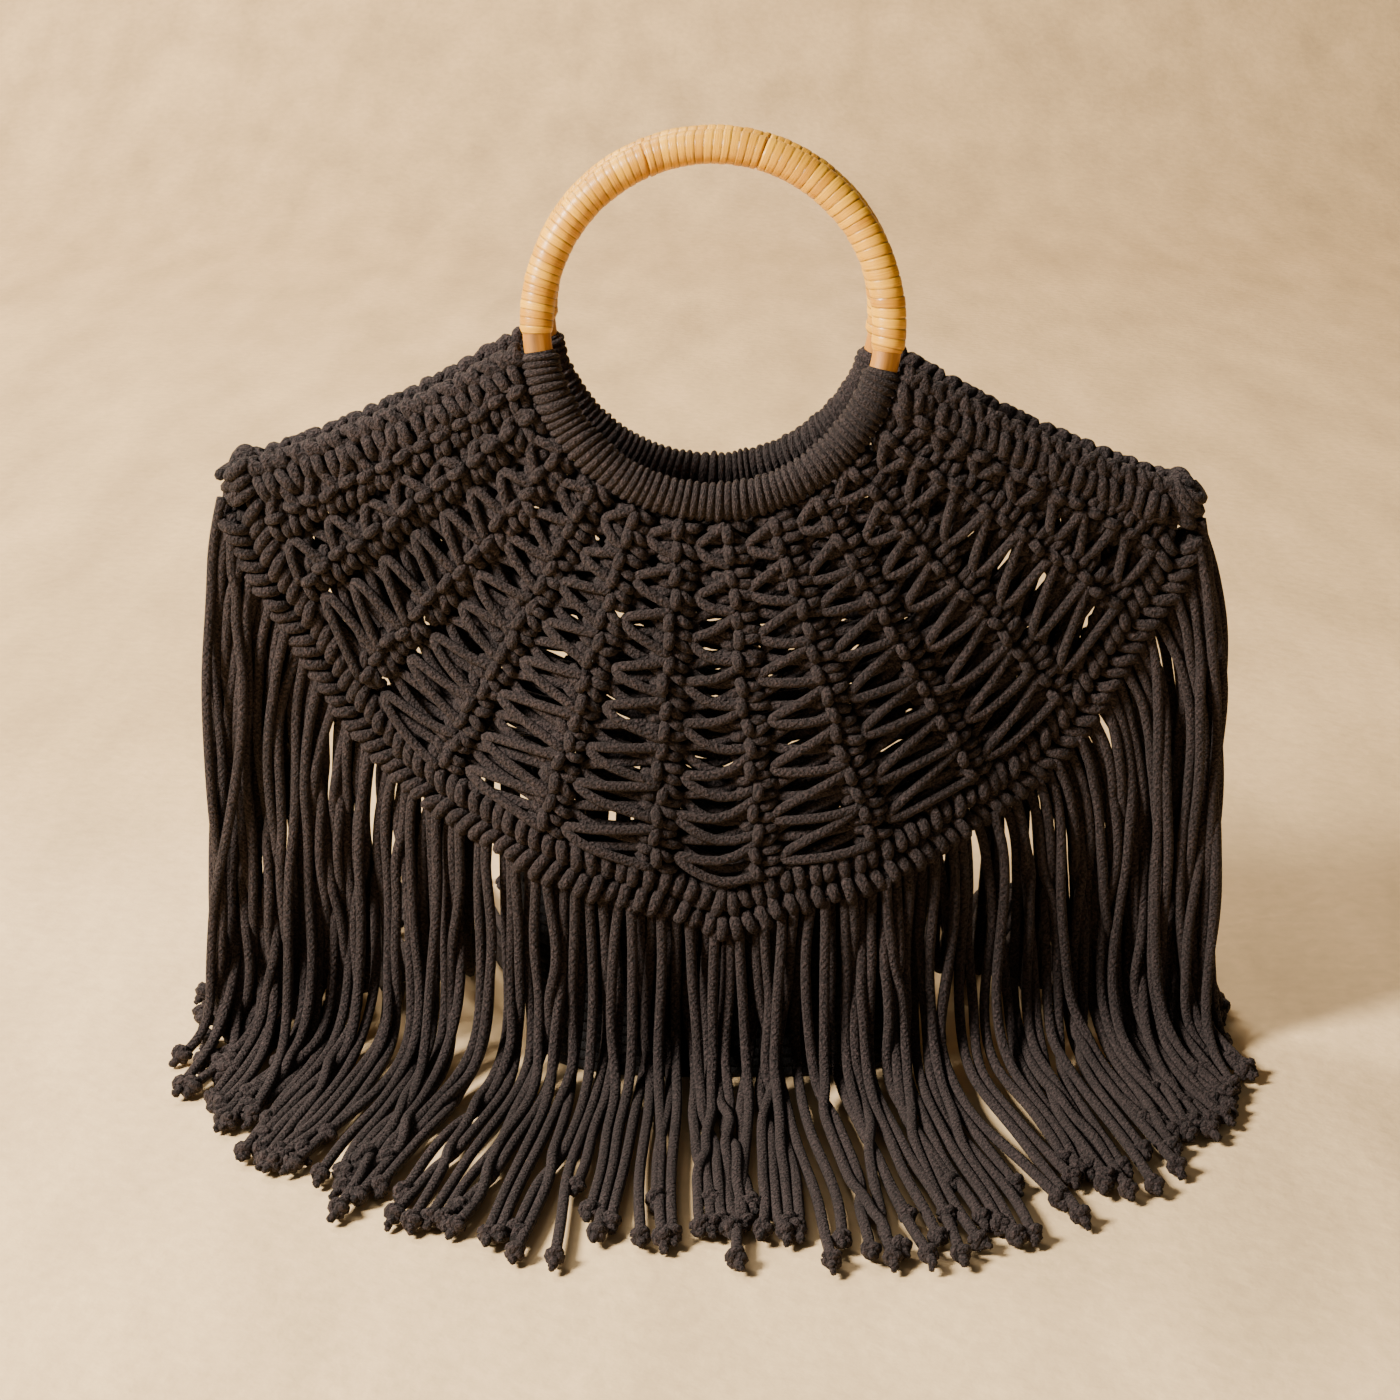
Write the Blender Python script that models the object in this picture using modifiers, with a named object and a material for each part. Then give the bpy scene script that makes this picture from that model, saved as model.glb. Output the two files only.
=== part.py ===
# Macrame fringe bag with two round rattan ring handles, standing on a floor at z = 0.
# Metres, +Z up. The front panel faces -Y, and x runs along the width of the bag.
# The bag is the same at the front and at the back, so each piece takes a side: -1 front, +1 back.

import math

import bmesh
import bpy
from mathutils import Matrix, Vector

SIDES = {"front": -1, "back": 1}
HANDS = {"left": -1, "right": 1}
CLEARANCE = 0.0003  # between any two pieces

# Ring handles
RING_RADIUS = 0.0737  # to the middle of the rattan
CORE_RADIUS = 0.0060
CANE_THICKNESS = 0.0009
RING_WRAP_THICKNESS = 0.0023  # cord wound round the rattan, pulled flat
RING_HEIGHT = 0.3334  # centre of the rings
RING_FOOT_DEPTH = 0.0277  # from the middle plane to the lowest point of each ring
WRAP_END_LEFT = math.radians(8)  # how far below level the cord winding begins
WRAP_END_RIGHT = math.radians(14)
BARE_LENGTH = 0.0075  # rattan left bare between the cane and the cord
RING_SEGMENTS = 28
RING_SIDES = 8

# Panels
HALF_WIDTH = 0.2166
CORNER_HEIGHT = 0.257
POINT_HEIGHT = 0.0732  # lowest point of the V-shaped border
POINT_SHIFT = 0.006  # the point hangs a little to the right of the rings
PANEL_LEAN = 0.022  # the right corner hangs lower than the left, as a slope
CORNER_DEPTH = 0.0079  # from the middle plane to the panel at its corners
BELLY_DEPTH = 0.0500  # how much further out the panel stands at its lowest point
BELLY_START = 0.80  # share of the half width where the belly begins
BELLY_RUN = 0.55  # share of the half width over which it grows
SHOULDER_SAG = 0.0045
PANEL_BULGE = 0.004  # the net bows out between the ring and the border

# Border, as shares of the half width and of the height from point to corner
BORDER_ROWS = (
    {"across": 1.000, "up": 1.000},
    {"across": 0.950, "up": 0.820},
    {"across": 0.860, "up": 0.640},
    {"across": 0.780, "up": 0.470},
    {"across": 0.690, "up": 0.345},
    {"across": 0.590, "up": 0.260},
    {"across": 0.460, "up": 0.193},
    {"across": 0.305, "up": 0.115},
    {"across": 0.150, "up": 0.066},
    {"across": 0.000, "up": 0.000},
)
BORDER_WIDTH = 0.021
BORDER_THICKNESS = 0.0110
RIB_DEPTH = 0.0014  # grooves between the knots of the border and of the shoulders

# Net
NET_THICKNESS = 0.0060
NET_SECTORS = 10
NET_GAP_ROWS = 5
SPOKE_WIDTH = 0.34  # share of a sector
SPOKE_RELIEF = 0.0018  # spokes stand proud of the floats
FLOAT_SAG = 0.0045  # floats hang down between the spokes
GAP_HEIGHT = 0.36  # share of a row
NET_SEAT = 0.0009  # from the border, where the straight edges of the net meet its curve
NET_PLAIN_TOP = 0.14  # share of the net next to the ring that has no gaps

# Shoulders and corners
SHOULDER_WIDTH = 0.0115
SHOULDER_THICKNESS = 0.0100
SHOULDER_RIBS = 4
CORNER_KNOT_HEIGHT = 0.020
CORNER_KNOT_DEPTH = 0.0265
CORNER_KNOT_EDGE = 0.006

# Fringe, cut in locks that hang from a head under the border
FRINGE_LENGTH_SIDE = 0.245
FRINGE_LENGTH_POINT = 0.193
FRINGE_THICKNESS = 0.0045
FRINGE_HEAD = 0.006
FRINGE_LOCKS = 24  # each hangs from one knot of the border
LOCK_GAP = 0.20  # share of a lock's pitch left open
LOCK_STEPS = 9
LOCK_STRAIGHT = 0.92  # share of its drop that a lock heads straight down
LOCK_FLOOR_RUN = 0.88  # share of its reach that it lies along the floor
FRINGE_OUTWARD = 0.018  # how far the outermost locks lean out at the corners

# Pouch
POUCH_HEIGHT = 0.088
POUCH_FLOOR_HALF_WIDTH = 0.085
POUCH_RIM_HALF_WIDTH = 0.094
POUCH_FLOOR_HALF_DEPTH = 0.046
POUCH_WALL = 0.003
POUCH_SQUARENESS = 3.2  # exponent of its outline, 2 is an ellipse
POUCH_POINTS = 20
POUCH_ROWS = 2
POUCH_EDGE = 0.006  # rounding between floor and wall

# Values worked out from those above
CANE_RADIUS = CORE_RADIUS + CLEARANCE + CANE_THICKNESS
WRAP_RADIUS = CORE_RADIUS + CLEARANCE + RING_WRAP_THICKNESS
RING_TOP_DEPTH = CANE_RADIUS + CLEARANCE / 2
RING_LEAN = math.asin((RING_FOOT_DEPTH - RING_TOP_DEPTH) / (2 * RING_RADIUS))
RING_DEPTH = (RING_FOOT_DEPTH + RING_TOP_DEPTH) / 2
WRAP_LEFT = -math.pi + WRAP_END_LEFT
WRAP_RIGHT = -WRAP_END_RIGHT
BARE_ANGLE = BARE_LENGTH / RING_RADIUS


def lerp(a, b, share):
    return a + (b - a) * share


def smoothstep(share):
    share = min(1.0, max(0.0, share))
    return share * share * (3 - 2 * share)


# Scene and materials


def clear_scene():
    for obj in list(bpy.data.objects):
        bpy.data.objects.remove(obj, do_unlink=True)


def make_material(name, colour, roughness):
    material = bpy.data.materials.new(name)
    material.use_nodes = True
    shader = material.node_tree.nodes["Principled BSDF"]
    shader.inputs["Base Color"].default_value = (*colour, 1.0)
    shader.inputs["Roughness"].default_value = roughness
    shader.inputs["Metallic"].default_value = 0.0
    material.diffuse_color = (*colour, 1.0)
    return material


# Mesh helpers


def add_object(name, mesh, material, collection):
    obj = bpy.data.objects.new(name, mesh)
    mesh.materials.append(material)
    mesh.shade_smooth()
    mesh.set_sharp_from_angle(angle=math.radians(40))
    collection.objects.link(obj)
    return obj


def grid_mesh(name, rows, round_rows=False, cap_ends=False, is_open=None):
    """Quads between rows of points. round_rows closes each row, and is_open(row, column) leaves a hole."""
    shape = bmesh.new()
    points = [[shape.verts.new(point) for point in row] for row in rows]
    columns = len(rows[0]) if round_rows else len(rows[0]) - 1
    for i in range(len(rows) - 1):
        for j in range(columns):
            if is_open and is_open(i, j):
                continue
            k = (j + 1) % len(rows[0])
            shape.faces.new((points[i][j], points[i][k], points[i + 1][k], points[i + 1][j]))
    if cap_ends:
        shape.faces.new(reversed(points[0]))
        shape.faces.new(points[-1])
    loose = [vertex for vertex in shape.verts if not vertex.link_faces]
    bmesh.ops.delete(shape, geom=loose, context="VERTS")
    bmesh.ops.recalc_face_normals(shape, faces=shape.faces)
    mesh = bpy.data.meshes.new(name)
    shape.to_mesh(mesh)
    shape.free()
    return mesh


def solidify(obj, thickness, offset):
    wall = obj.modifiers.new("Wall", "SOLIDIFY")
    wall.thickness = thickness
    wall.offset = offset
    wall.use_even_offset = offset != 0


def smooth_curve(points, steps=16):
    """Points along a Catmull-Rom curve through those given."""
    ends = [2 * points[0] - points[1], *points, 2 * points[-1] - points[-2]]
    found = []
    for a, b, c, d in zip(ends, ends[1:], ends[2:], ends[3:]):
        for step in range(steps):
            t = step / steps
            found.append(
                0.5
                * (
                    2 * b
                    + (c - a) * t
                    + (2 * a - 5 * b + 4 * c - d) * t**2
                    + (3 * b - a - 3 * c + d) * t**3
                )
            )
    return [*found, points[-1]]


def at_share(points, share):
    """The point at this share of a polyline's length."""
    lengths = [(b - a).length for a, b in zip(points, points[1:])]
    left = min(1.0, max(0.0, share)) * sum(lengths)
    for a, b, length in zip(points, points[1:], lengths):
        if left <= length:
            return a.lerp(b, left / length)
        left -= length
    return points[-1].copy()


# Ring handles


def ring_up(side):
    """Up, in the plane of a ring: the tops of the two rings lean together."""
    return Vector((0, -side * math.sin(RING_LEAN), math.cos(RING_LEAN)))


def ring_centre(side):
    return Vector((0, side * RING_DEPTH, RING_HEIGHT))


def ring_outward(angle, side):
    return Vector((math.cos(angle), 0, 0)) + ring_up(side) * math.sin(angle)


def ring_middle(angle, side):
    """Middle of the rattan at this angle, on the straight-sided ring that the torus has."""
    step = 2 * math.pi / RING_SEGMENTS
    first = math.floor(angle / step) * step
    a = ring_outward(first, side)
    b = ring_outward(first + step, side)
    return ring_centre(side) + a.lerp(b, (angle - first) / step) * RING_RADIUS


def make_ring(name, side, material, collection):
    bpy.ops.mesh.primitive_torus_add(
        location=ring_centre(side),
        rotation=(math.pi / 2 + side * RING_LEAN, 0, 0),
        major_segments=RING_SEGMENTS,
        minor_segments=RING_SIDES,
        major_radius=RING_RADIUS,
        minor_radius=CORE_RADIUS,
    )
    obj = bpy.context.object
    obj.name = name
    obj.data.name = name
    obj.data.materials.append(material)
    obj.data.shade_smooth()
    for owner in list(obj.users_collection):
        owner.objects.unlink(obj)
    collection.objects.link(obj)
    return obj


def sleeve_angles(start, end):
    """Start, end, and each corner of the straight-sided ring between them."""
    step = 2 * math.pi / RING_SEGMENTS
    corners = [i * step for i in range(-2 * RING_SEGMENTS, 2 * RING_SEGMENTS)]
    near = step / 100
    return [start, *[angle for angle in corners if start + near < angle < end - near], end]


def make_sleeve(name, side, start, end, radius, material, collection):
    """A winding round a stretch of the ring, as a pipe that clears the rattan."""
    across = ring_up(side).cross(Vector((1, 0, 0)))
    rows = []
    for angle in sleeve_angles(start, end):
        middle = ring_middle(angle, side)
        outward = ring_outward(angle, side)
        row = []
        for i in range(RING_SIDES):
            turn = 2 * math.pi * i / RING_SIDES
            row.append(middle + (outward * math.cos(turn) + across * math.sin(turn)) * radius)
        rows.append(row)
    obj = add_object(name, grid_mesh(name, rows, round_rows=True), material, collection)
    solidify(obj, radius - CORE_RADIUS - CLEARANCE, -1)
    return obj


# Panel surface: straight spokes run from the winding on a ring to the outer edge of the border


def panel_depth(x):
    """How far the panel's outer edge stands from the middle plane."""
    inside = BELLY_START - abs(x) / HALF_WIDTH
    return CORNER_DEPTH + BELLY_DEPTH * smoothstep(inside / BELLY_RUN)


def border_points(hand):
    """Half of the border's outer edge, from its corner to its lowest point, in the middle plane."""
    points = []
    for row in BORDER_ROWS:
        x = hand * row["across"] * HALF_WIDTH + POINT_SHIFT * (1 - row["across"])
        z = lerp(POINT_HEIGHT, CORNER_HEIGHT, row["up"]) - PANEL_LEAN * x * row["up"]
        points.append(Vector((x, 0, z)))
    return points


def make_outline():
    return smooth_curve(border_points(-1) + border_points(1)[-2::-1])


OUTLINE = make_outline()
OUTLINE_LENGTH = sum((b - a).length for a, b in zip(OUTLINE, OUTLINE[1:]))


def outer_point(share, side):
    """A point on the outer edge of the border, at this share of its length from the left corner."""
    point = at_share(OUTLINE, share)
    return Vector((point.x, side * panel_depth(point.x), point.z))


def inner_point(share, side):
    """The point of the ring's cord winding that the same share belongs to."""
    angle = lerp(WRAP_LEFT, WRAP_RIGHT, share)
    reach = RING_RADIUS + WRAP_RADIUS + CLEARANCE
    return ring_centre(side) + ring_outward(angle, side) * reach


def spoke(ring_share, border_share, side):
    return inner_point(ring_share, side), outer_point(border_share, side)


def spoke_point(ends, distance, side, share):
    """The point of a spoke at this distance in from the border's outer edge."""
    ring_end, border_end = ends
    along = distance / (ring_end - border_end).length
    point = border_end.lerp(ring_end, along)
    middle = max(0.0, 4 * along * (1 - along))
    near_shoulder = (2 * abs(share - 0.5)) ** 6
    point.z -= SHOULDER_SAG * middle * near_shoulder
    point.y += side * PANEL_BULGE * middle * (1 - near_shoulder)
    return point


def panel_axes(share, side):
    """Unit vectors at the border: along it, in towards the ring, and out of the panel."""
    step = 0.002
    along = (outer_point(share + step, side) - outer_point(share - step, side)).normalized()
    ring_end, border_end = spoke(share, share, side)
    out = along.cross(ring_end - border_end).normalized()
    return along, out.cross(along), out


def edge_distance(distance, share, side):
    """How far along the spoke a point lies that is this far in, square to the border."""
    ring_end, border_end = spoke(share, share, side)
    inward = panel_axes(share, side)[1]
    return distance / inward.dot((ring_end - border_end).normalized())


# Net


def net_margins():
    """Shares of the ring winding and of the border that the shoulder bands take at each end."""
    band = SHOULDER_WIDTH / 2 + 2 * CLEARANCE
    winding = (WRAP_RIGHT - WRAP_LEFT) * (RING_RADIUS + WRAP_RADIUS)
    return 1.35 * band / winding, 1.5 * band / OUTLINE_LENGTH


def net_columns():
    """Shares across the net, each with its part of a sector: on a spoke, or in the middle of the floats."""
    columns = []
    for sector in range(NET_SECTORS):
        first = sector / NET_SECTORS
        pitch = 1 / NET_SECTORS
        half = SPOKE_WIDTH / 2
        columns.append((first + pitch * half, "spoke"))
        columns.append((first + pitch * 0.5, "float"))
        columns.append((first + pitch * (1 - half), "spoke"))
    return [(0.0, "spoke"), *columns, (1.0, "spoke")]


def net_rows():
    """Shares down the net from the ring: the edges of each gap."""
    rows = [0.0]
    pitch = (1 - NET_PLAIN_TOP) / NET_GAP_ROWS
    for row in range(NET_GAP_ROWS):
        middle = NET_PLAIN_TOP + pitch * (row + 0.5)
        rows.append(middle - pitch * GAP_HEIGHT / 2)
        rows.append(middle + pitch * GAP_HEIGHT / 2)
    return [*rows, 1.0]


def make_net(name, side, material, collection):
    ring_margin, border_margin = net_margins()
    columns = net_columns()
    rows = []
    for down in net_rows():
        row = []
        for across, kind in columns:
            ring_share = lerp(ring_margin, 1 - ring_margin, across)
            border_share = lerp(border_margin, 1 - border_margin, across)
            ends = spoke(ring_share, border_share, side)
            length = (ends[0] - ends[1]).length
            nearest = edge_distance(BORDER_WIDTH + NET_SEAT, border_share, side)
            distance = lerp(length, nearest, down)
            sag = FLOAT_SAG if kind == "float" and 0 < down < 1 else 0.0
            point = spoke_point(ends, distance - sag, side, across)
            relief = SPOKE_RELIEF if kind == "spoke" and 0 < down < 1 else 0.0
            point.y += side * relief
            row.append(point)
        rows.append(row)

    def is_open(i, j):
        return i % 2 == 1 and "float" in (columns[j][1], columns[j + 1][1])

    obj = add_object(name, grid_mesh(name, rows, is_open=is_open), material, collection)
    solidify(obj, NET_THICKNESS, 0)
    return obj


# Border, shoulders and corner knots


def oval(middle, first, second, half_first, half_second):
    """A six-sided section, pointed along the first direction and flat across the second."""
    points = []
    for i in range(6):
        turn = math.pi * i / 3
        rise = math.sin(turn) / math.sin(math.pi / 3)
        points.append(middle + first * half_first * math.cos(turn) + second * half_second * rise)
    return points


def border_ends():
    """Shares of the outline where the border stops below the corner knots."""
    hidden = CORNER_KNOT_HEIGHT / 2 + CLEARANCE
    return hidden / OUTLINE_LENGTH, 1 - hidden / OUTLINE_LENGTH


def lock_columns():
    """Shares of the outline at the two edges of each lock of the fringe."""
    start, end = border_ends()
    columns = []
    pitch = (end - start) / FRINGE_LOCKS
    for lock in range(FRINGE_LOCKS):
        first = start + pitch * lock
        columns.append(first + pitch * LOCK_GAP / 2)
        columns.append(first + pitch * (1 - LOCK_GAP / 2))
    return columns


def border_stations():
    """Shares of the outline along the border, each with the depth of its groove: one knot over each lock."""
    start, end = border_ends()
    columns = lock_columns()
    stations = [(start, RIB_DEPTH)]
    for i in range(0, len(columns), 2):
        stations.append((columns[i], 0.0))
        stations.append((columns[i + 1], 0.0))
        after = columns[i + 2] if i + 2 < len(columns) else 2 * end - columns[i + 1]
        stations.append(((columns[i + 1] + after) / 2, RIB_DEPTH))
    return stations


def border_middle(share, side):
    return outer_point(share, side) + panel_axes(share, side)[1] * BORDER_WIDTH / 2


def make_border(name, side, material, collection):
    rows = []
    stations = border_stations()
    last = len(stations) - 1
    for i, (share, groove) in enumerate(stations):
        inward, out = panel_axes(share, side)[1:]
        if i in (0, last):
            inward, out = corner_frame(-1 if i == 0 else 1)[1], Vector((0, -1, 0))
        rows.append(
            oval(
                border_middle(share, side),
                inward,
                out,
                BORDER_WIDTH / 2,
                BORDER_THICKNESS / 2 - groove,
            )
        )
    return add_object(
        name, grid_mesh(name, rows, round_rows=True, cap_ends=True), material, collection
    )


def corner_frame(hand):
    """Middle of the corner knot, and its directions: in from the edge, back, and up along the border."""
    share = border_ends()[0 if hand < 0 else 1]
    along = panel_axes(share, -1)[0]
    up = Vector((along.x, 0, along.z)).normalized() * hand
    back = Vector((0, 1, 0))
    inward = back.cross(up) * -hand
    middle = border_middle(share, -1)
    middle.y = 0
    middle += up * (CORNER_KNOT_HEIGHT / 2 + CLEARANCE)
    return middle, inward, back, up


def make_shoulder(name, side, hand, material, collection):
    """The edge band from the top of the ring's winding down to the corner knot."""
    angle = WRAP_LEFT if hand < 0 else WRAP_RIGHT
    reach = RING_RADIUS + WRAP_RADIUS + CLEARANCE
    start = ring_centre(side) + ring_outward(angle, side) * reach
    corner, inward, back, up = corner_frame(hand)
    end = corner + inward * (BORDER_WIDTH / 2 + CLEARANCE)
    end.y = side * CORNER_DEPTH
    ring_across = back.cross(ring_outward(angle, side)).normalized()
    ring_across = ring_across if ring_across.z > 0 else -ring_across
    rows = []
    steps = 2 * SHOULDER_RIBS
    for i in range(steps + 1):
        share = i / steps
        middle = start.lerp(end, share)
        middle.z -= SHOULDER_SAG * 4 * share * (1 - share)
        across = ring_across.lerp(up, share).normalized()
        groove = RIB_DEPTH * (1 - i % 2)
        rows.append(oval(middle, across, back, SHOULDER_WIDTH / 2, SHOULDER_THICKNESS / 2 - groove))
    return add_object(
        name, grid_mesh(name, rows, round_rows=True, cap_ends=True), material, collection
    )


def make_corner_knot(name, hand, material, collection):
    middle, _, back, up = corner_frame(hand)
    shape = bmesh.new()
    bmesh.ops.create_cube(shape, size=1.0)
    size = Vector((BORDER_WIDTH, CORNER_KNOT_DEPTH, CORNER_KNOT_HEIGHT))
    bmesh.ops.scale(shape, vec=size, verts=shape.verts)
    mesh = bpy.data.meshes.new(name)
    shape.to_mesh(mesh)
    shape.free()
    obj = add_object(name, mesh, material, collection)
    rotation = Matrix((back.cross(up), back, up)).transposed()
    obj.matrix_world = Matrix.LocRotScale(middle, rotation, None)
    edge = obj.modifiers.new("Edge", "BEVEL")
    edge.width = CORNER_KNOT_EDGE
    edge.segments = 1
    return obj


# Fringe


def bezier(points, share):
    a, b, c, d = points
    rest = 1 - share
    return a * rest**3 + b * 3 * rest**2 * share + c * 3 * rest * share**2 + d * share**3


def bezier_length(points, steps=24):
    found = [bezier(points, i / steps) for i in range(steps + 1)]
    return sum((b - a).length for a, b in zip(found, found[1:]))


def lock_curve(root, side, reach, outward, drop):
    """Down from the root, then out along the floor."""
    tip = root + Vector((outward, side * reach, -drop))
    return (
        root,
        root + Vector((outward * LOCK_STRAIGHT / 2, 0, -LOCK_STRAIGHT * drop)),
        tip - Vector((0, side * LOCK_FLOOR_RUN * reach, 0)),
        tip,
    )


def hanging_lock(root, side, length):
    """A cord of this length from the root: it hangs free, or lies out on the floor where it is too long."""
    outward = FRINGE_OUTWARD * (root.x / HALF_WIDTH) ** 3
    drop = root.z - FRINGE_THICKNESS / 2
    if drop >= length:
        return lock_curve(root, side, 0.0, outward, length)
    low, high = 0.0, length
    for _ in range(30):
        reach = (low + high) / 2
        if bezier_length(lock_curve(root, side, reach, outward, drop)) < length:
            low = reach
        else:
            high = reach
    return lock_curve(root, side, low, outward, drop)


def make_fringe(name, side, material, collection):
    columns = []
    for share in lock_columns():
        ends = spoke(share, share, side)
        top = spoke_point(ends, edge_distance(-CLEARANCE, share, side), side, share)
        root = spoke_point(ends, edge_distance(-CLEARANCE - FRINGE_HEAD, share, side), side, share)
        length = lerp(FRINGE_LENGTH_POINT, FRINGE_LENGTH_SIDE, abs(root.x) / HALF_WIDTH)
        curve = hanging_lock(root, side, length)
        column = [top]
        for step in range(LOCK_STEPS + 1):
            column.append(bezier(curve, step / LOCK_STEPS))
        columns.append(column)
    rows = list(zip(*columns))

    def is_open(i, j):
        return i >= 1 and j % 2 == 1

    obj = add_object(name, grid_mesh(name, rows, is_open=is_open), material, collection)
    solidify(obj, FRINGE_THICKNESS, 0)
    return obj


# Pouch


def pouch_outline(half_width, half_depth, z):
    points = []
    for i in range(POUCH_POINTS):
        turn = 2 * math.pi * i / POUCH_POINTS
        c, s = math.cos(turn), math.sin(turn)
        power = 2 / POUCH_SQUARENESS
        x = math.copysign(abs(c) ** power, c) * half_width + POINT_SHIFT
        y = math.copysign(abs(s) ** power, s) * half_depth
        points.append(Vector((x, y, z)))
    return points


def make_pouch(name, material, collection):
    """An open bag with a flat floor, whose rim lies against the insides of the two borders."""
    middle = border_middle(0.5, 1)
    inward, out = panel_axes(0.5, 1)[1:]
    rise = (POUCH_HEIGHT - middle.z) / inward.z
    seat = BORDER_THICKNESS / 2 / abs(out.y) + 2 * CLEARANCE
    rim_half_depth = middle.y + inward.y * rise - seat
    rows = [
        pouch_outline(POUCH_FLOOR_HALF_WIDTH - POUCH_EDGE, POUCH_FLOOR_HALF_DEPTH - POUCH_EDGE, 0.0)
    ]
    for i in range(POUCH_ROWS + 1):
        share = i / POUCH_ROWS
        rows.append(
            pouch_outline(
                lerp(POUCH_FLOOR_HALF_WIDTH, POUCH_RIM_HALF_WIDTH, share),
                lerp(POUCH_FLOOR_HALF_DEPTH, rim_half_depth, share),
                lerp(POUCH_EDGE, POUCH_HEIGHT, share),
            )
        )
    mesh = grid_mesh(name, rows, round_rows=True)
    shape = bmesh.new()
    shape.from_mesh(mesh)
    floor_edges = [
        edge for edge in shape.edges if edge.is_boundary and edge.verts[0].co.z < POUCH_EDGE / 2
    ]
    bmesh.ops.contextual_create(shape, geom=floor_edges)
    bmesh.ops.recalc_face_normals(shape, faces=shape.faces)
    lowest = min(shape.faces, key=lambda face: face.calc_center_median().z)
    if lowest.normal.z > 0:
        bmesh.ops.reverse_faces(shape, faces=shape.faces)
    shape.to_mesh(mesh)
    shape.free()
    obj = add_object(name, mesh, material, collection)
    solidify(obj, POUCH_WALL, -1)
    return obj


def main():
    clear_scene()
    bag = bpy.data.collections.new("macrame_fringe_bag")
    bpy.context.scene.collection.children.link(bag)
    rattan = make_material("rattan", (0.62, 0.40, 0.18), 0.45)
    cane = make_material("cane", (0.70, 0.46, 0.22), 0.35)
    cord = make_material("cotton_cord", (0.060, 0.045, 0.042), 0.90)
    lining = make_material("pouch_cord", (0.020, 0.016, 0.015), 0.95)
    cane_start = WRAP_RIGHT + BARE_ANGLE
    cane_end = WRAP_LEFT + 2 * math.pi - BARE_ANGLE
    for place, side in SIDES.items():
        make_ring(f"ring_{place}", side, rattan, bag)
        make_sleeve(f"cane_wrap_{place}", side, cane_start, cane_end, CANE_RADIUS, cane, bag)
        make_sleeve(f"cord_wrap_{place}", side, WRAP_LEFT, WRAP_RIGHT, WRAP_RADIUS, cord, bag)
        make_net(f"net_{place}", side, cord, bag)
        make_border(f"border_{place}", side, cord, bag)
        for word, hand in HANDS.items():
            make_shoulder(f"shoulder_{place}_{word}", side, hand, cord, bag)
        make_fringe(f"fringe_{place}", side, cord, bag)
    for word, hand in HANDS.items():
        make_corner_knot(f"corner_knot_{word}", hand, cord, bag)
    make_pouch("pouch", lining, bag)


main()
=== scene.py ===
# %% [markdown]
# A macrame fringe bag
#
# Two fans of knotted cotton cord hang from two rattan rings. Each fan has spokes, loose floats
# between the spokes, a thick knotted border and a long fringe. Nearly all of it is one material,
# a 4.4 mm braided cord, so the lesson is mostly about drawing thousands of short cords cheaply:
# a path is worked out for each one with numpy, and all the paths of a piece become one mesh.

# %% Set up
import math
import bpy
import numpy as np
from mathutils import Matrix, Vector


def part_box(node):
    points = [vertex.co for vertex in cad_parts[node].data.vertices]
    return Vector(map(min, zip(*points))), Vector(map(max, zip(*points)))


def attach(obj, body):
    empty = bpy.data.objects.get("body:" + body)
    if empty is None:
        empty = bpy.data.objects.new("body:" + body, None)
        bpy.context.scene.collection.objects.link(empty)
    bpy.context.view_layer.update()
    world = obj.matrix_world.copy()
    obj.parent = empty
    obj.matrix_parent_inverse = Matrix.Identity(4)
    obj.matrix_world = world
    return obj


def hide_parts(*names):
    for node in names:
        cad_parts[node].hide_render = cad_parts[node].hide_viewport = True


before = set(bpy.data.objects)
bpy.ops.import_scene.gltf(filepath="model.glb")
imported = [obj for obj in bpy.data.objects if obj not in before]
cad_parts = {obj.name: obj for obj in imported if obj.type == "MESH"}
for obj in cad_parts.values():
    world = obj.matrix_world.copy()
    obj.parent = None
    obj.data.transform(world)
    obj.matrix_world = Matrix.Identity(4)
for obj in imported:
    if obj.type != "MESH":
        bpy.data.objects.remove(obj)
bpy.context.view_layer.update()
SIDES = {"front": -1.0, "back": 1.0}
HANDS = {"left": -1.0, "right": 1.0}

# %% [markdown]
# Measuring the frame
#
# The cords have to follow the solids, so the scene reads some of its places from them: the rings give
# their centre and tilt, and the corner knots give the ends of the shoulders. The width, the height
# of the corners and the lowest point of the border are given as numbers.
# The curve of the border between those is repeated as shares of them.

# %% Rings
CORD = 0.0022
BORDER_CORD = 0.0026  # it looks fatter in the border, where it is tied loosely


def middle_of(node):
    low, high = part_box(node)
    return np.array((low + high) / 2)


def size_of(node):
    low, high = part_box(node)
    return np.array(high - low)


CORE_RADIUS = 0.0060
RING_RADIUS = size_of("ring_front")[0] / 2 - CORE_RADIUS
RING_CENTRE = np.abs(middle_of("ring_front")) * (0, 1, 1)
CANE_RADIUS = size_of("cane_wrap_front")[0] / 2 - RING_RADIUS
WRAP_RADIUS = CANE_RADIUS + 0.0014
RING_LEAN = math.asin((RING_CENTRE[1] - CANE_RADIUS - 0.00015) / RING_RADIUS)
WRAP_LEFT = math.radians(-172)
WRAP_RIGHT = math.radians(-14)
BARE_ANGLE = 0.0075 / RING_RADIUS


def unit(vectors):
    return vectors / np.maximum(np.linalg.norm(vectors, axis=-1, keepdims=True), 1e-12)


def ring_up(side):
    return np.array((0.0, -side * math.sin(RING_LEAN), math.cos(RING_LEAN)))


def ring_centre(side):
    return RING_CENTRE * (1, side, 1)


def ring_outward(angle, side):
    angle = np.asarray(angle)[..., None]
    return np.cos(angle) * (1, 0, 0) + np.sin(angle) * ring_up(side)


def ring_point(angle, radius, side):
    return ring_centre(side) + ring_outward(angle, side) * np.asarray(radius)[..., None]


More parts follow.
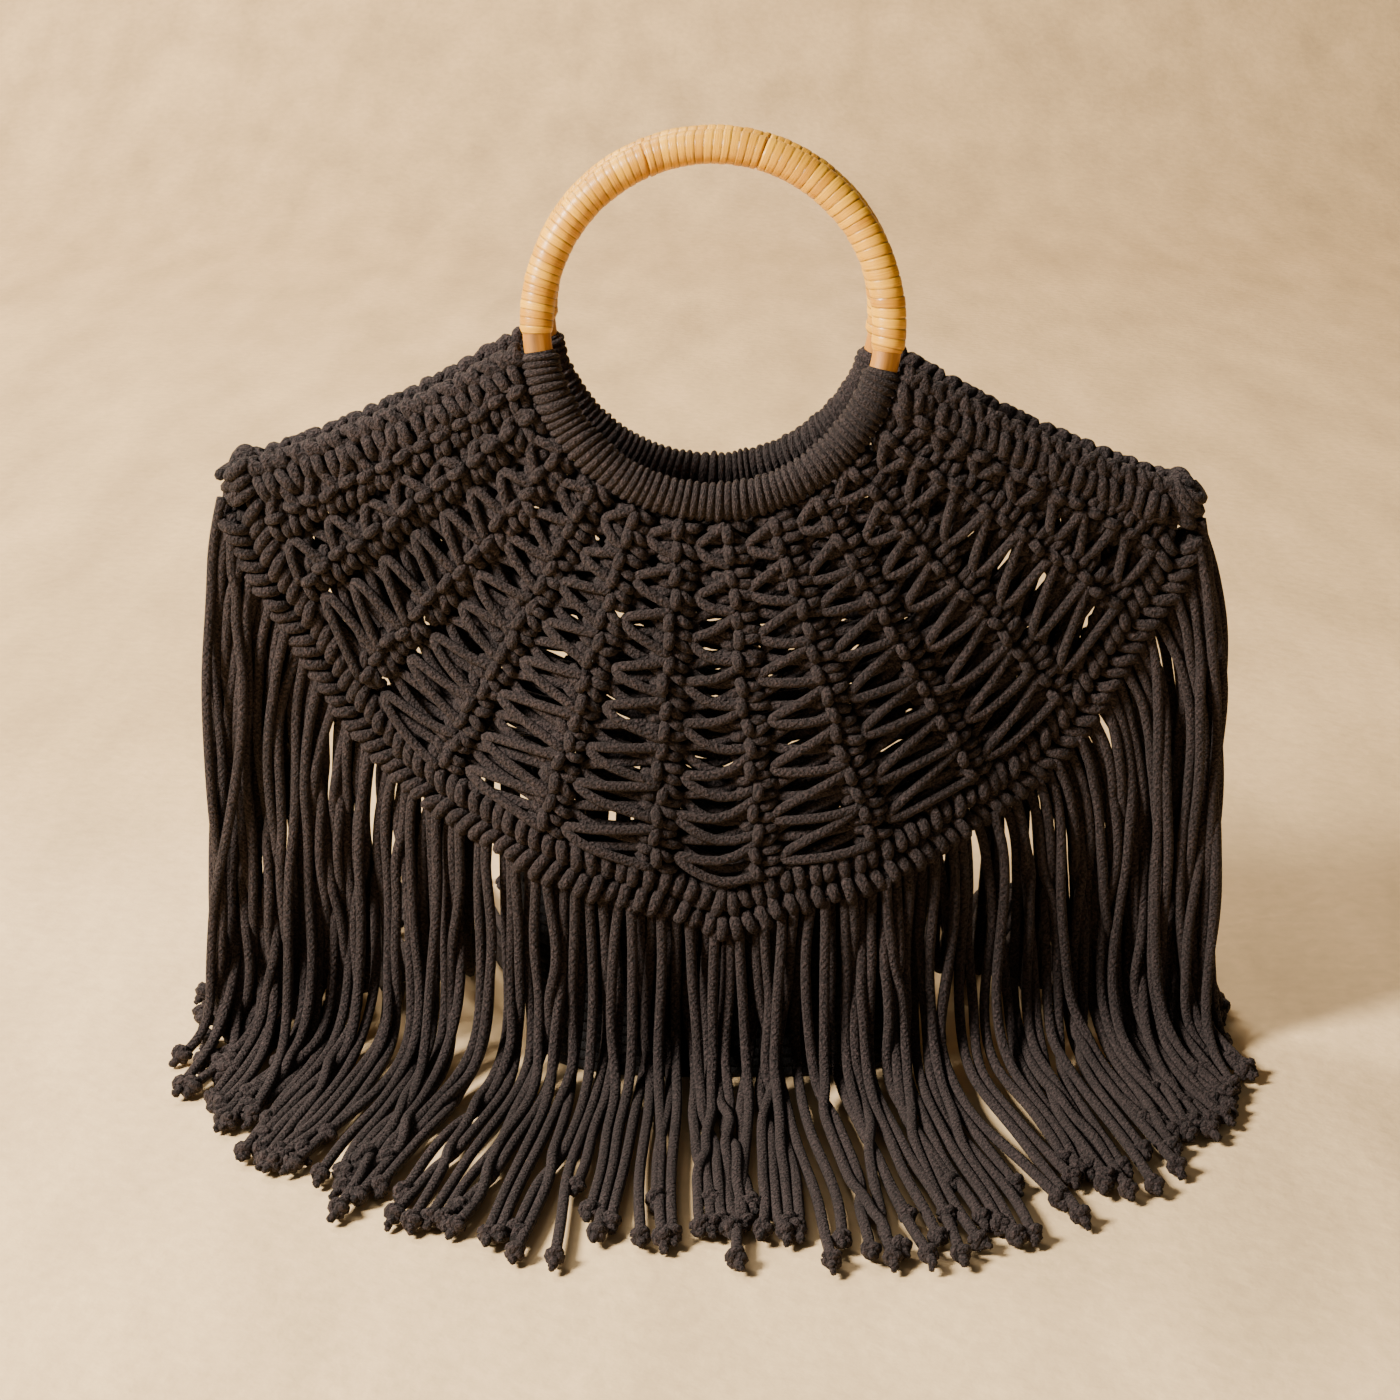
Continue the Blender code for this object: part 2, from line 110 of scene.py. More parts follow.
print("ring radius", round(RING_RADIUS, 4), "lean", round(math.degrees(RING_LEAN), 1), "degrees")

# %% Border outline
BORDER_ROWS = (
    {"across": 1.000, "up": 1.000},
    {"across": 0.950, "up": 0.820},
    {"across": 0.860, "up": 0.640},
    {"across": 0.780, "up": 0.470},
    {"across": 0.690, "up": 0.345},
    {"across": 0.590, "up": 0.260},
    {"across": 0.460, "up": 0.193},
    {"across": 0.305, "up": 0.115},
    {"across": 0.150, "up": 0.066},
    {"across": 0.000, "up": 0.000},
)
HALF_WIDTH = 0.2166
CORNER_HEIGHT = 0.257
POINT_HEIGHT = 0.0732
POINT_SHIFT = 0.006
PANEL_LEAN = 0.022
CORNER_DEPTH = 0.0079
BELLY_DEPTH = 0.0500
BORDER_WIDTH = 0.021
BORDER_THICKNESS = 0.011


def smoothstep(share):
    share = np.clip(share, 0.0, 1.0)
    return share * share * (3 - 2 * share)


def distance_along(path):
    """How far each point of a path lies from its start."""
    return np.concatenate([[0], np.cumsum(np.linalg.norm(np.diff(path, axis=0), axis=1))])


def look_up(where, at, path):
    """The points of a path at these distances from its start."""
    return np.stack([np.interp(where, at, path[:, axis]) for axis in range(3)], axis=-1)


def smooth_path(points, steps=12):
    """Points along a Catmull-Rom curve through those given."""
    points = np.asarray(points, float)
    ends = np.vstack([2 * points[0] - points[1], points, 2 * points[-1] - points[-2]])
    t = (np.arange(steps) / steps)[:, None]
    found = []
    for a, b, c, d in zip(ends, ends[1:], ends[2:], ends[3:]):
        found.append(
            0.5 * (2 * b + (c - a) * t + (2 * a - 5 * b + 4 * c - d) * t**2
                   + (3 * b - a - 3 * c + d) * t**3)
        )
    return np.vstack([*found, points[-1:]])


def border_points(hand):
    points = []
    for row in BORDER_ROWS:
        x = hand * row["across"] * HALF_WIDTH + POINT_SHIFT * (1 - row["across"])
        z = POINT_HEIGHT + (CORNER_HEIGHT - POINT_HEIGHT) * row["up"] - PANEL_LEAN * x * row["up"]
        points.append((x, 0.0, z))
    return points


OUTLINE = smooth_path(border_points(-1) + border_points(1)[-2::-1])
OUTLINE_AT = distance_along(OUTLINE)
OUTLINE_LENGTH = OUTLINE_AT[-1]
print("the border's edge is", round(OUTLINE_LENGTH, 3), "m long")


def outer_point(share, side):
    """On the outer edge of the border, at this share of its length from the left corner."""
    point = look_up(np.asarray(share, float) * OUTLINE_LENGTH, OUTLINE_AT, OUTLINE)
    across = np.abs(point[..., 0]) / HALF_WIDTH
    point[..., 1] = side * (CORNER_DEPTH + BELLY_DEPTH * smoothstep((0.80 - across) / 0.55))
    return point


# %% [markdown]
# The panel as a surface
#
# Every knot of a panel gets a place by three numbers: `u` across the fan, `v` down a spoke from the
# ring to the border, and a lift off the cloth. One function turns those into a point. The same
# straight spokes are in the solids, so the cords lie where the solids lie.

# %% Panel surface
SHOULDER_SAG = 0.0045
PANEL_BULGE = 0.004
RING_MARGIN = 0.026
BORDER_MARGIN = 0.004


def spoke_ends(u, side):
    ring_share = RING_MARGIN + (1 - 2 * RING_MARGIN) * u
    border_share = BORDER_MARGIN + (1 - 2 * BORDER_MARGIN) * u
    angle = WRAP_LEFT + (WRAP_RIGHT - WRAP_LEFT) * ring_share
    return ring_point(angle, RING_RADIUS + WRAP_RADIUS, side), outer_point(border_share, side)


def panel_point(u, v, side, lift=0.0):
    """A point of the net. v is 0 at the ring's winding and 1 where the border's band begins."""
    u, v, lift = np.broadcast_arrays(np.asarray(u, float), v, lift)
    ring_end, border_end = spoke_ends(u, side)
    length = np.linalg.norm(border_end - ring_end, axis=-1)
    along = v * (1 - BORDER_WIDTH / length)
    point = ring_end + (border_end - ring_end) * along[..., None]
    middle = np.maximum(0.0, 4 * along * (1 - along))
    near_shoulder = np.abs(2 * u - 1) ** 6
    point[..., 2] -= SHOULDER_SAG * middle * near_shoulder - 0.12 * lift
    point[..., 1] += side * (PANEL_BULGE * middle * (1 - near_shoulder) + lift)
    return point


def border_axes(share, side):
    """Along the border, square in from its edge, and out of the panel."""
    step = 0.003
    along = unit(outer_point(share + step, side) - outer_point(share - step, side))
    angle = WRAP_LEFT + (WRAP_RIGHT - WRAP_LEFT) * np.asarray(share)
    ring_end = ring_point(angle, RING_RADIUS + WRAP_RADIUS, side)
    out = unit(np.cross(along, ring_end - outer_point(share, side)))
    return along, np.cross(out, along), out * -side


def border_point(share, distance, side, lift=0.0):
    """A point of the border's band, at this distance in from its outer edge."""
    share, distance, lift = np.broadcast_arrays(np.asarray(share, float), distance, lift)
    along, inward, out = border_axes(share, side)
    return outer_point(share, side) + inward * distance[..., None] + out * lift[..., None]


print("middle of the front net", panel_point(0.5, 0.5, -1).round(3))

# %% [markdown]
# Cords as one mesh
#
# A Bevel on a curve object would give each cord its tube, but thousands of curve splines are slow
# and carry no texture coordinates along the cord. So the tube is swept here: a ring of points is
# carried along each path without twisting, and each cord keeps a UV map whose `u` runs round the
# cord and whose `v` is the length in metres. The braid of the cord is drawn from that map.

# %% Cord builder


def sweep_frames(paths):
    """Two directions square to each path at every point, carried along without twist."""
    tangents = unit(np.gradient(paths, axis=1))
    first = tangents[:, 0]
    helper = np.where(np.abs(first[:, 2:3]) < 0.8, (0.0, 0.0, 1.0), (1.0, 0.0, 0.0))
    across = np.empty_like(paths)
    across[:, 0] = unit(np.cross(first, helper))
    for i in range(1, paths.shape[1]):
        t = tangents[:, i]
        before = across[:, i - 1]
        across[:, i] = unit(before - t * np.sum(before * t, axis=1, keepdims=True))
    return across, np.cross(tangents, across)


def add_object(name, data):
    made = bpy.data.objects.new(name, data)
    bpy.context.scene.collection.objects.link(made)
    return made


def write_mesh(name, points, corners, sizes, uv, material):
    """An object from points, the corners of its faces in one row, and each face's number of corners."""
    mesh = bpy.data.meshes.new(name)
    mesh.vertices.add(len(points))
    mesh.vertices.foreach_set("co", points.ravel())
    mesh.loops.add(len(corners))
    mesh.loops.foreach_set("vertex_index", corners.astype(np.int32))
    mesh.polygons.add(len(sizes))
    mesh.polygons.foreach_set("loop_start", (np.cumsum(sizes) - sizes).astype(np.int32))
    mesh.update(calc_edges=True)
    mesh.uv_layers.new(name="cord").data.foreach_set("uv", uv.ravel())
    mesh.shade_smooth()
    mesh.materials.append(material)
    print(name, int((sizes - 2).sum()), "triangles")
    return add_object(name, mesh)


class CordMesh:
    """Collects tubes, then writes them all as one mesh with a UV map called cord."""

    def __init__(self):
        self.points, self.faces, self.uvs, self.caps, self.count = [], [], [], [], 0
        self.random = np.random.default_rng(7)

    def add(self, paths, radius=CORD, sides=6):
        """paths is (cords, points, 3), and radius a number or one value for each point."""
        paths = np.asarray(paths, float)
        if paths.ndim == 2:
            paths = paths[None]
        cords, steps = paths.shape[:2]
        radius = np.broadcast_to(radius, (cords, steps))
        across, up = sweep_frames(paths)
        turn = 2 * math.pi * np.arange(sides) / sides
        ring = across[:, :, None] * np.cos(turn)[:, None] + up[:, :, None] * np.sin(turn)[:, None]
        tube = paths[:, :, None] + ring * radius[:, :, None, None]
        base = self.count + np.arange(cords)[:, None, None] * steps * sides
        i = np.arange(steps - 1)[None, :, None] * sides
        j = np.arange(sides)[None, None, :]
        k = (j + 1) % sides
        quads = np.stack([base + i + j, base + i + k, base + i + sides + k, base + i + sides + j], -1)
        length = np.linalg.norm(np.diff(paths, axis=1), axis=2).cumsum(1)
        length = np.concatenate([np.zeros((cords, 1)), length], 1) + self.random.random((cords, 1)) * 3
        v0 = np.broadcast_to(length[:, :-1, None], (cords, steps - 1, sides))
        v1 = np.broadcast_to(length[:, 1:, None], v0.shape)
        u0 = np.broadcast_to(np.arange(sides) / sides, v0.shape)
        u1 = u0 + 1 / sides
        uv = np.stack([u0, v0, u1, v0, u1, v1, u0, v1], -1).reshape(-1, 4, 2)
        ends = base[:, 0, 0][:, None]
        start_cap = ends + np.arange(sides)[::-1]
        end_cap = ends + (steps - 1) * sides + np.arange(sides)
        self.points.append(tube.reshape(-1, 3))
        self.faces.append(quads.reshape(-1, 4))
        self.uvs.append(uv)
        self.caps.append(np.concatenate([start_cap, end_cap]))
        self.count += cords * steps * sides

    def build(self, name, material):
        corners = [faces.ravel() for faces in self.faces] + [caps.ravel() for caps in self.caps]
        sizes = [np.full(len(faces), 4) for faces in self.faces]
        sizes += [np.full(len(caps), caps.shape[1]) for caps in self.caps]
        corners, sizes = np.concatenate(corners), np.concatenate(sizes)
        uv = np.zeros((len(corners), 2))
        filled = np.vstack([part.reshape(-1, 2) for part in self.uvs])
        uv[: len(filled)] = filled
        return write_mesh(name, np.vstack(self.points), corners, sizes, uv, material)


def place(piece, slot, *nodes):
    """Every piece rides on the one body and stands for its CAD nodes. The slot is not used."""
    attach(piece, "root")
    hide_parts(*nodes)


def resample(path, count):
    """The same path with this many points, evenly spaced."""
    at = distance_along(path)
    return look_up(np.linspace(0, at[-1], count), at, path)


# %% [markdown]
# Cotton cord
#
# The bag is tied from soft braided cotton, dyed a warm near-black. Up close the braid shows as small
# diamonds, so an image texture could do it, but the pattern is regular enough to compute: two sets
# of diagonal strands cross in the cord's own UV map, and each crossing is a small pillow. The grooves
# between the pillows are darkened in the colour, as painted shade. The braid, the drift of the dye
# and the grain of the cane are node groups, so each material sets its own values.

# %% Node helpers


def new_group(name, inputs, outputs):
    """A shader node group with named inputs, given with their default values, and outputs."""
    group = bpy.data.node_groups.new(name, "ShaderNodeTree")
    kinds = {float: "NodeSocketFloat", tuple: "NodeSocketColor"}
    for label, value in inputs.items():
        socket = group.interface.new_socket(label, in_out="INPUT", socket_type=kinds[type(value)])
        socket.default_value = value
    for label, kind in outputs.items():
        group.interface.new_socket(label, in_out="OUTPUT", socket_type=kind)
    return group, group.nodes.new("NodeGroupInput").outputs, group.nodes.new("NodeGroupOutput").inputs


def fill(tree, inputs, values):
    """Gives each named input its value, or links it where the value is another node's output."""
    for key, value in dict(values).items():
        if isinstance(value, bpy.types.NodeSocket):
            tree.links.new(value, inputs[key])
        else:
            inputs[key].default_value = value


def node(tree, kind, values=(), **settings):
    """Adds a node, sets its properties and fills its inputs."""
    made = tree.nodes.new(kind)
    for label, value in settings.items():
        setattr(made, label, value)
    fill(tree, made.inputs, values)
    return made


def calculate(tree, operation, a, b=0.0):
    return node(tree, "ShaderNodeMath", {0: a, 1: b}, operation=operation).outputs[0]


def mix_colour(tree, factor, a, b, blend="MIX"):
    mixed = node(tree, "ShaderNodeMix", {0: factor, 6: a, 7: b}, data_type="RGBA", blend_type=blend)
    return mixed.outputs[2]


def noise(tree, vector, scale, detail):
    values = {"Vector": vector, "Scale": scale, "Detail": detail}
    return node(tree, "ShaderNodeTexNoise", values).outputs[0]


def cord_uv(tree):
    return node(tree, "ShaderNodeUVMap", uv_map="cord").outputs[0]


# %% Shared effects


def make_braid():
    """Diamonds of crossing strands under a fuzz of fibres, with painted shade darkening the grooves
    between crossings. Cell is one crossing's length in metres.
    """
    group, given, result = new_group(
        "braid",
        {"Color": (0.05, 0.04, 0.035, 1.0), "Strands": 4.0, "Cell": 0.003, "Depth": 0.55, "Fuzz": 0.65},
        {"Color": "NodeSocketColor", "Height": "NodeSocketFloat"},
    )
    uv = node(group, "ShaderNodeSeparateXYZ", {0: cord_uv(group)}).outputs
    around = calculate(group, "MULTIPLY", uv[0], given["Strands"])
    along = calculate(group, "DIVIDE", uv[1], given["Cell"])
    pillow = 1.0
    for operation in ("ADD", "SUBTRACT"):
        share = calculate(group, "FRACT", calculate(group, operation, around, along))
        crest = calculate(group, "SINE", calculate(group, "MULTIPLY", share, math.pi))
        pillow = calculate(group, "MULTIPLY", crest, pillow)
    pillow = calculate(group, "SQRT", calculate(group, "MAXIMUM", pillow, 0.0))
    place_in_space = node(group, "ShaderNodeTexCoord").outputs["Object"]
    fibres = noise(group, place_in_space, 850.0, 3.0)
    speckle = node(group, "ShaderNodeMapRange", {0: fibres, 1: 0.39, 2: 0.63}).outputs[0]
    bright = node(group, "ShaderNodeMix", {0: given["Fuzz"], 2: pillow, 3: speckle}).outputs[0]
    # Painted shade: the colour darkens in the grooves between the braid's crests, mixed with the fibres'
    # own speckle.
    dim = calculate(group, "MULTIPLY", given["Depth"], calculate(group, "SUBTRACT", 1.0, bright))
    shade = calculate(group, "SUBTRACT", 1.0, dim)
    colour = mix_colour(group, 1.0, given["Color"], shade, "MULTIPLY")
    fill(group, result, {"Color": colour, "Height": bright})
    return group


def make_drift():
    """Slow changes of tone over the whole bag, as dye, sun and handling leave them."""
    group, given, result = new_group(
        "tone drift",
        {"Color": (0.5, 0.5, 0.5, 1.0), "Scale": 30.0, "Amount": 0.25},
        {"Color": "NodeSocketColor", "Mask": "NodeSocketFloat"},
    )
    place_in_space = node(group, "ShaderNodeTexCoord").outputs["Object"]
    patches = noise(group, place_in_space, given["Scale"], 3.0)
    offset = calculate(group, "SUBTRACT", patches, 0.5)
    both_ways = calculate(group, "MULTIPLY", given["Amount"], 2.0)
    shade = calculate(group, "ADD", 1.0, calculate(group, "MULTIPLY", offset, both_ways))
    colour = mix_colour(group, 1.0, given["Color"], shade, "MULTIPLY")
    fill(group, result, {"Color": colour, "Mask": patches})
    return group


def make_grain():
    """Fibres along a strip of cane, dark at its edges. The whole part of u is the strip's number."""
    colours = {"Light": (0.7, 0.45, 0.2, 1.0), "Dark": (0.4, 0.22, 0.08, 1.0)}
    group, given, result = new_group(
        "cane grain",
        {**colours, "Streaks": 9.0, "Strip tone": 0.5, "Edge": 0.6},
        {"Color": "NodeSocketColor", "Height": "NodeSocketFloat"},
    )
    uv = node(group, "ShaderNodeSeparateXYZ", {0: cord_uv(group)}).outputs
    number = calculate(group, "FLOOR", uv[0])
    strip = node(group, "ShaderNodeTexWhiteNoise", {"W": number}, noise_dimensions="1D").outputs[0]
    across = calculate(group, "MULTIPLY", uv[0], given["Streaks"])
    along = calculate(group, "MULTIPLY", uv[1], 90.0)
    vector = node(group, "ShaderNodeCombineXYZ", {0: across, 1: along, 2: number}).outputs[0]
    fibres = noise(group, vector, 1.0, 4.0)
    strip_tone = calculate(group, "MULTIPLY", strip, given["Strip tone"])
    half_tone = calculate(group, "MULTIPLY", given["Strip tone"], 0.5)
    tone = calculate(group, "ADD", strip_tone, calculate(group, "SUBTRACT", fibres, half_tone))
    colour = mix_colour(group, tone, given["Dark"], given["Light"])
    from_middle = calculate(group, "PINGPONG", calculate(group, "ADD", uv[0], 0.5), 0.5)
    edge = node(group, "ShaderNodeMapRange", {0: from_middle, 1: 0.38, 2: 0.50}).outputs[0]
    shade = calculate(group, "SUBTRACT", 1.0, calculate(group, "MULTIPLY", edge, given["Edge"]))
    colour = mix_colour(group, 1.0, colour, shade, "MULTIPLY")
    fill(group, result, {"Color": colour, "Height": fibres})
    return group


BRAID, DRIFT, GRAIN = make_braid(), make_drift(), make_grain()
print("node groups:", [group.name for group in (BRAID, DRIFT, GRAIN)])

# %% Materials
SHEEN_TINT = (0.60, 0.48, 0.42, 1.0)
CHARCOAL = (0.0460, 0.0308, 0.0288, 1.0)
# Painted shade: the pouch's cord is far darker than the bag's cotton because it stands for the shadow
# inside the bag, behind the fringe.
POUCH_PAINTED_SHADE = (0.006, 0.005, 0.005, 1.0)
HONEY = (1.0, 0.52, 0.010, 1.0)
HONEY_SHADE = (0.46, 0.170, 0.003, 1.0)
RATTAN_BROWN = (0.60, 0.26, 0.018, 1.0)
RATTAN_SHADE = (0.30, 0.10, 0.006, 1.0)


def use_group(tree, group, values):
    return node(tree, "ShaderNodeGroup", values, node_tree=group).outputs


def new_material(name):
    material = bpy.data.materials.new(name)
    material.use_nodes = True
    tree = material.node_tree
    return material, tree, tree.nodes["Principled BSDF"].inputs


def bump(tree, height, distance):
    values = {"Height": height, "Distance": distance, "Strength": 1.0}
    return node(tree, "ShaderNodeBump", values).outputs[0]


def make_cord(name, colour, drift, sheen, roughness=0.86, cell=0.0030, depth=0.6, relief=0.0006):
    material, tree, shader = new_material(name)
    toned = use_group(tree, DRIFT, {"Color": colour, "Amount": drift, "Scale": 22.0})
    # depth sets how dark the painted shade in the braid's grooves is.
    braid = use_group(tree, BRAID, {"Color": toned["Color"], "Cell": cell, "Depth": depth})
    uneven = calculate(tree, "MULTIPLY", toned["Mask"], 0.1)
    fill(tree, shader, {
        "Base Color": braid["Color"],
        "Roughness": calculate(tree, "ADD", roughness - 0.05, uneven),
        "Sheen Weight": sheen,
        "Sheen Roughness": 0.45,
        "Sheen Tint": SHEEN_TINT,
        "Specular IOR Level": 0.25,
        "Normal": bump(tree, braid["Height"], relief),
    })
    return material


def make_cane(name, light, dark, coat, roughness, streaks=9.0, strip_tone=0.5):
    material, tree, shader = new_material(name)
    values = {"Light": light, "Dark": dark, "Streaks": streaks, "Strip tone": strip_tone}
    grain = use_group(tree, GRAIN, values)
    toned = use_group(tree, DRIFT, {"Color": grain["Color"], "Amount": 0.22, "Scale": 40.0})
    uneven = calculate(tree, "MULTIPLY", grain["Height"], 0.15)
    fill(tree, shader, {
        "Base Color": toned["Color"],
        "Roughness": calculate(tree, "ADD", roughness, uneven),
        "Coat Weight": coat,
        "Coat Roughness": 0.22,
        "Normal": bump(tree, grain["Height"], 0.00015),
    })
    return material


COTTON = make_cord("charcoal cotton cord", CHARCOAL, 0.45, 0.07, cell=0.0032, depth=1.0, relief=0.0013)
# The pouch cord's near-black colour is painted shade.
POUCH_COTTON = make_cord("pouch cord in painted shade", POUCH_PAINTED_SHADE, 0.30, 0.03)
CANE = make_cane("honey cane strip", HONEY, HONEY_SHADE, 0.14, 0.34)
RATTAN = make_cane("bare rattan", RATTAN_BROWN, RATTAN_SHADE, 0.15, 0.45, 30.0, 0.1)

# %% [markdown]
# Rattan rings
#
# Each handle is a bent rattan rod. A thin strip of cane is wound round its upper part, and the cord
# round its lower part. A winding could be a swept helix, but turns that touch along the whole way
# waste most of their faces inside. So the winding is one skin: a tube whose radius rises and falls
# across each turn, with the turn's number worked out from the angle along the ring and around it.

# %% Ring cores
RING_CORD_TURNS = 58
WINDING_SIDES = 28


def build_core(name, side):
    angles = np.linspace(math.radians(-90), math.radians(270), 193)
    cords = CordMesh()
    cords.add(ring_point(angles, RING_RADIUS, side), CORE_RADIUS, 20)
    place(cords.build("rattan_" + name, RATTAN), "rattan", name)


for label, side in SIDES.items():
    build_core("ring_" + label, side)

# %% Windings


def grid_mesh(name, points, u, v, material):
    """A mesh from a grid of points, open along the first axis and closed round the second."""
    rows, columns = points.shape[0] - 1, points.shape[1] - 1
    i, j = np.meshgrid(np.arange(rows), np.arange(columns), indexing="ij")
    corner = [(i, j), (i, j + 1), (i + 1, j + 1), (i + 1, j)]
    quads = np.stack([a * columns + b % columns for a, b in corner], -1)
    uv = np.stack([np.stack([u[a, b], v[a, b]], -1) for a, b in corner], -2)
    sizes = np.full(rows * columns, 4)
    return write_mesh(name, points[:, :-1].reshape(-1, 3), quads.ravel(), sizes, uv, material)


def wind(name, side, start, end, turn_at, thickness, profile, material, seed, samples, open_at=()):
    """A skin of turns from angle start to end. turn_at gives the turns made at a share of the way."""
    turns = turn_at(np.array(1.0))
    rows = int(turns * samples) + 1
    share = np.linspace(0, 1, rows)[:, None]
    around_angle = np.linspace(0, 2 * math.pi, WINDING_SIDES + 1)[None, :]
    wander = np.interp(share, np.linspace(0, 1, 24), np.random.default_rng(seed).normal(0, 0.22, 24))
    lean = np.interp(share, np.linspace(0, 1, 17), np.random.default_rng(seed + 1).normal(0, 0.16, 17))
    phase = turn_at(share) - around_angle / (2 * math.pi) + lean * np.sin(around_angle) + wander
    turn = np.floor(phase).astype(int)
    high = 1 + np.random.default_rng(seed + 2).normal(0, 0.10, int(turns) + 8)[turn % int(turns)]
    edge = np.clip(np.minimum(share, 1 - share) * turns * 1.6, 0, 1)
    relief = profile(phase - turn) * high * edge
    for angle in open_at:
        join = np.round(turn_at(np.array((math.radians(angle) - start) / (end - start))))
        relief = relief * np.clip(np.abs(phase - join) / 0.16 - 0.2, 0, 1)
    radius = CORE_RADIUS + 0.0002 + (thickness - 0.0002) * relief
    angle = start + (end - start) * np.broadcast_to(share, phase.shape)
    normal = np.cross((1.0, 0.0, 0.0), ring_up(side))
    points = ring_point(angle, RING_RADIUS + radius * np.cos(around_angle), side)
    points += normal * (radius * np.sin(around_angle))[..., None]
    along = around_angle * CORE_RADIUS + turn * 0.037
    return grid_mesh(name, points, phase, along, material)


def flat_strip(across):
    return 1 - 0.50 * np.abs(2 * across - 1) ** 14 - 0.03 * np.abs(2 * across - 1) ** 2


def round_cord(across):
    return np.sqrt(np.maximum(0.0, 1 - 0.97 * (2 * across - 1) ** 2))


def cane_turns(share):
    """Wide strips on the right, and narrower ones over the top and down the left."""
    return np.interp(share, (0.0, 0.22, 0.34, 1.0), (0.0, 12.5, 20.0, 66.0))


def cord_turns(share):
    return share * RING_CORD_TURNS


CANE_JOINS = (74, 112)
CANE_THICKNESS = CANE_RADIUS - CORE_RADIUS
WRAP_THICKNESS = WRAP_RADIUS - CORE_RADIUS
for number, (label, side) in enumerate(SIDES.items()):
    cane = wind("cane_" + label, side, WRAP_RIGHT + BARE_ANGLE, WRAP_LEFT - BARE_ANGLE + 2 * math.pi,
                cane_turns, CANE_THICKNESS, flat_strip, CANE, 10 + number, 9, open_at=CANE_JOINS)
    place(cane, "cane", "cane_wrap_" + label)
    cord = wind("wound_cord_" + label, side, WRAP_LEFT, WRAP_RIGHT, cord_turns,
                WRAP_THICKNESS, round_cord, COTTON, 20 + number, 10)
    place(cord, "cotton_cord", "cord_wrap_" + label)

# %% [markdown]
# Net panels
#
# On the real bag each spoke is a row of knots. A long carrying cord shows as pills down its middle,
# short hitches are stacked on its right, and loose cords loop out to the left, to the next spoke.
# A tiled texture could not give the gaps, and one knot instanced many times would look stamped.
# Here each kind of stroke is a formula in u, v and lift, and small random changes keep them apart.

# %% Net strokes
SPOKES = 10
SECTORS = SPOKES + 1
PILL_PITCH = 0.0092
HITCH_PITCH = 0.0048
HITCH_LENGTH = 0.0073
EDGE_SPOKE = 0.036
FLOAT_PITCH = 0.0066
EDGE_ROWS = (0.008, 0.992)
EDGE_PITCH = 0.0058
EDGE_LENGTH = 0.0104
random = np.random.default_rng(31)


def spoke_length(u, side):
    return np.linalg.norm(panel_point(u, 1.0, side) - panel_point(u, 0.0, side), axis=-1)


def sector_width(left, right, v, side):
    return np.linalg.norm(panel_point(right, v, side) - panel_point(left, v, side), axis=-1)


def jitter(size, count):
    return random.normal(0, size, count)


def net_strokes(side, u, v, lift, sag=0.0):
    """Paths from arrays of u, v and lift, one row for each cord. sag lowers the middle of each."""
    points = panel_point(u, v, side, lift)
    share = np.linspace(0, 1, points.shape[1])
    points[..., 2] -= np.asarray(sag)[..., None] * (4 * share * (1 - share))
    return points


def arch(count):
    return np.sin(np.pi * np.linspace(0, 1, count)) ** 0.6


def u_per_metre(u, v, side):
    """How far u moves for a metre across the fan at this place."""
    low, high = np.clip(u - 0.01, 0, 1), np.clip(u + 0.01, 0, 1)
    gap = np.linalg.norm(panel_point(high, v, side) - panel_point(low, v, side), axis=-1)
    return (high - low) / gap


def spoke_pills(cords, side, u):
    """The carrying cord of a spoke, where it shows between two knots."""
    rows = max(4, round(float(spoke_length(u, side)) / PILL_PITCH))
    t = np.linspace(-0.36, 0.36, 11)
    v = (np.arange(rows)[:, None] + 0.5 + jitter(0.07, rows)[:, None] + t) / rows
    drift = jitter(0.0008, rows)[:, None] + jitter(0.0016, rows)[:, None] * t
    drift = drift * u_per_metre(u, 0.5, side)
    lift = -0.0012 + (0.0068 + jitter(0.0006, rows)[:, None]) * arch(11)
    cords.add(net_strokes(side, u + drift, np.clip(v, 0, 1.02), lift), CORD * 1.14, 7)


def spoke_hitches(cords, side, u):
    """The short hitches stacked on the right of a spoke, and the ends that show on its left."""
    rows = max(8, round(float(spoke_length(u, side)) / HITCH_PITCH))
    t = np.linspace(0, 1, 9)
    for start, length, height in ((0.0014, HITCH_LENGTH, 0.0050), (-0.0066, 0.0056, 0.0034)):
        v = (np.arange(rows) + 0.5 + jitter(0.10, rows)) / rows
        unit_u = u_per_metre(u, np.clip(v, 0, 1), side)
        across = start + (length + jitter(0.0009, rows)[:, None]) * t
        tilt = (jitter(0.0016, rows)[:, None] + 0.0012) * (t - 0.5) / spoke_length(u, side)
        lift = -0.0020 + (height + jitter(0.0006, rows)[:, None]) * arch(9)
        path = net_strokes(side, u + across * unit_u[:, None], v[:, None] + tilt, lift)
        cords.add(path, CORD * 1.04, 6)


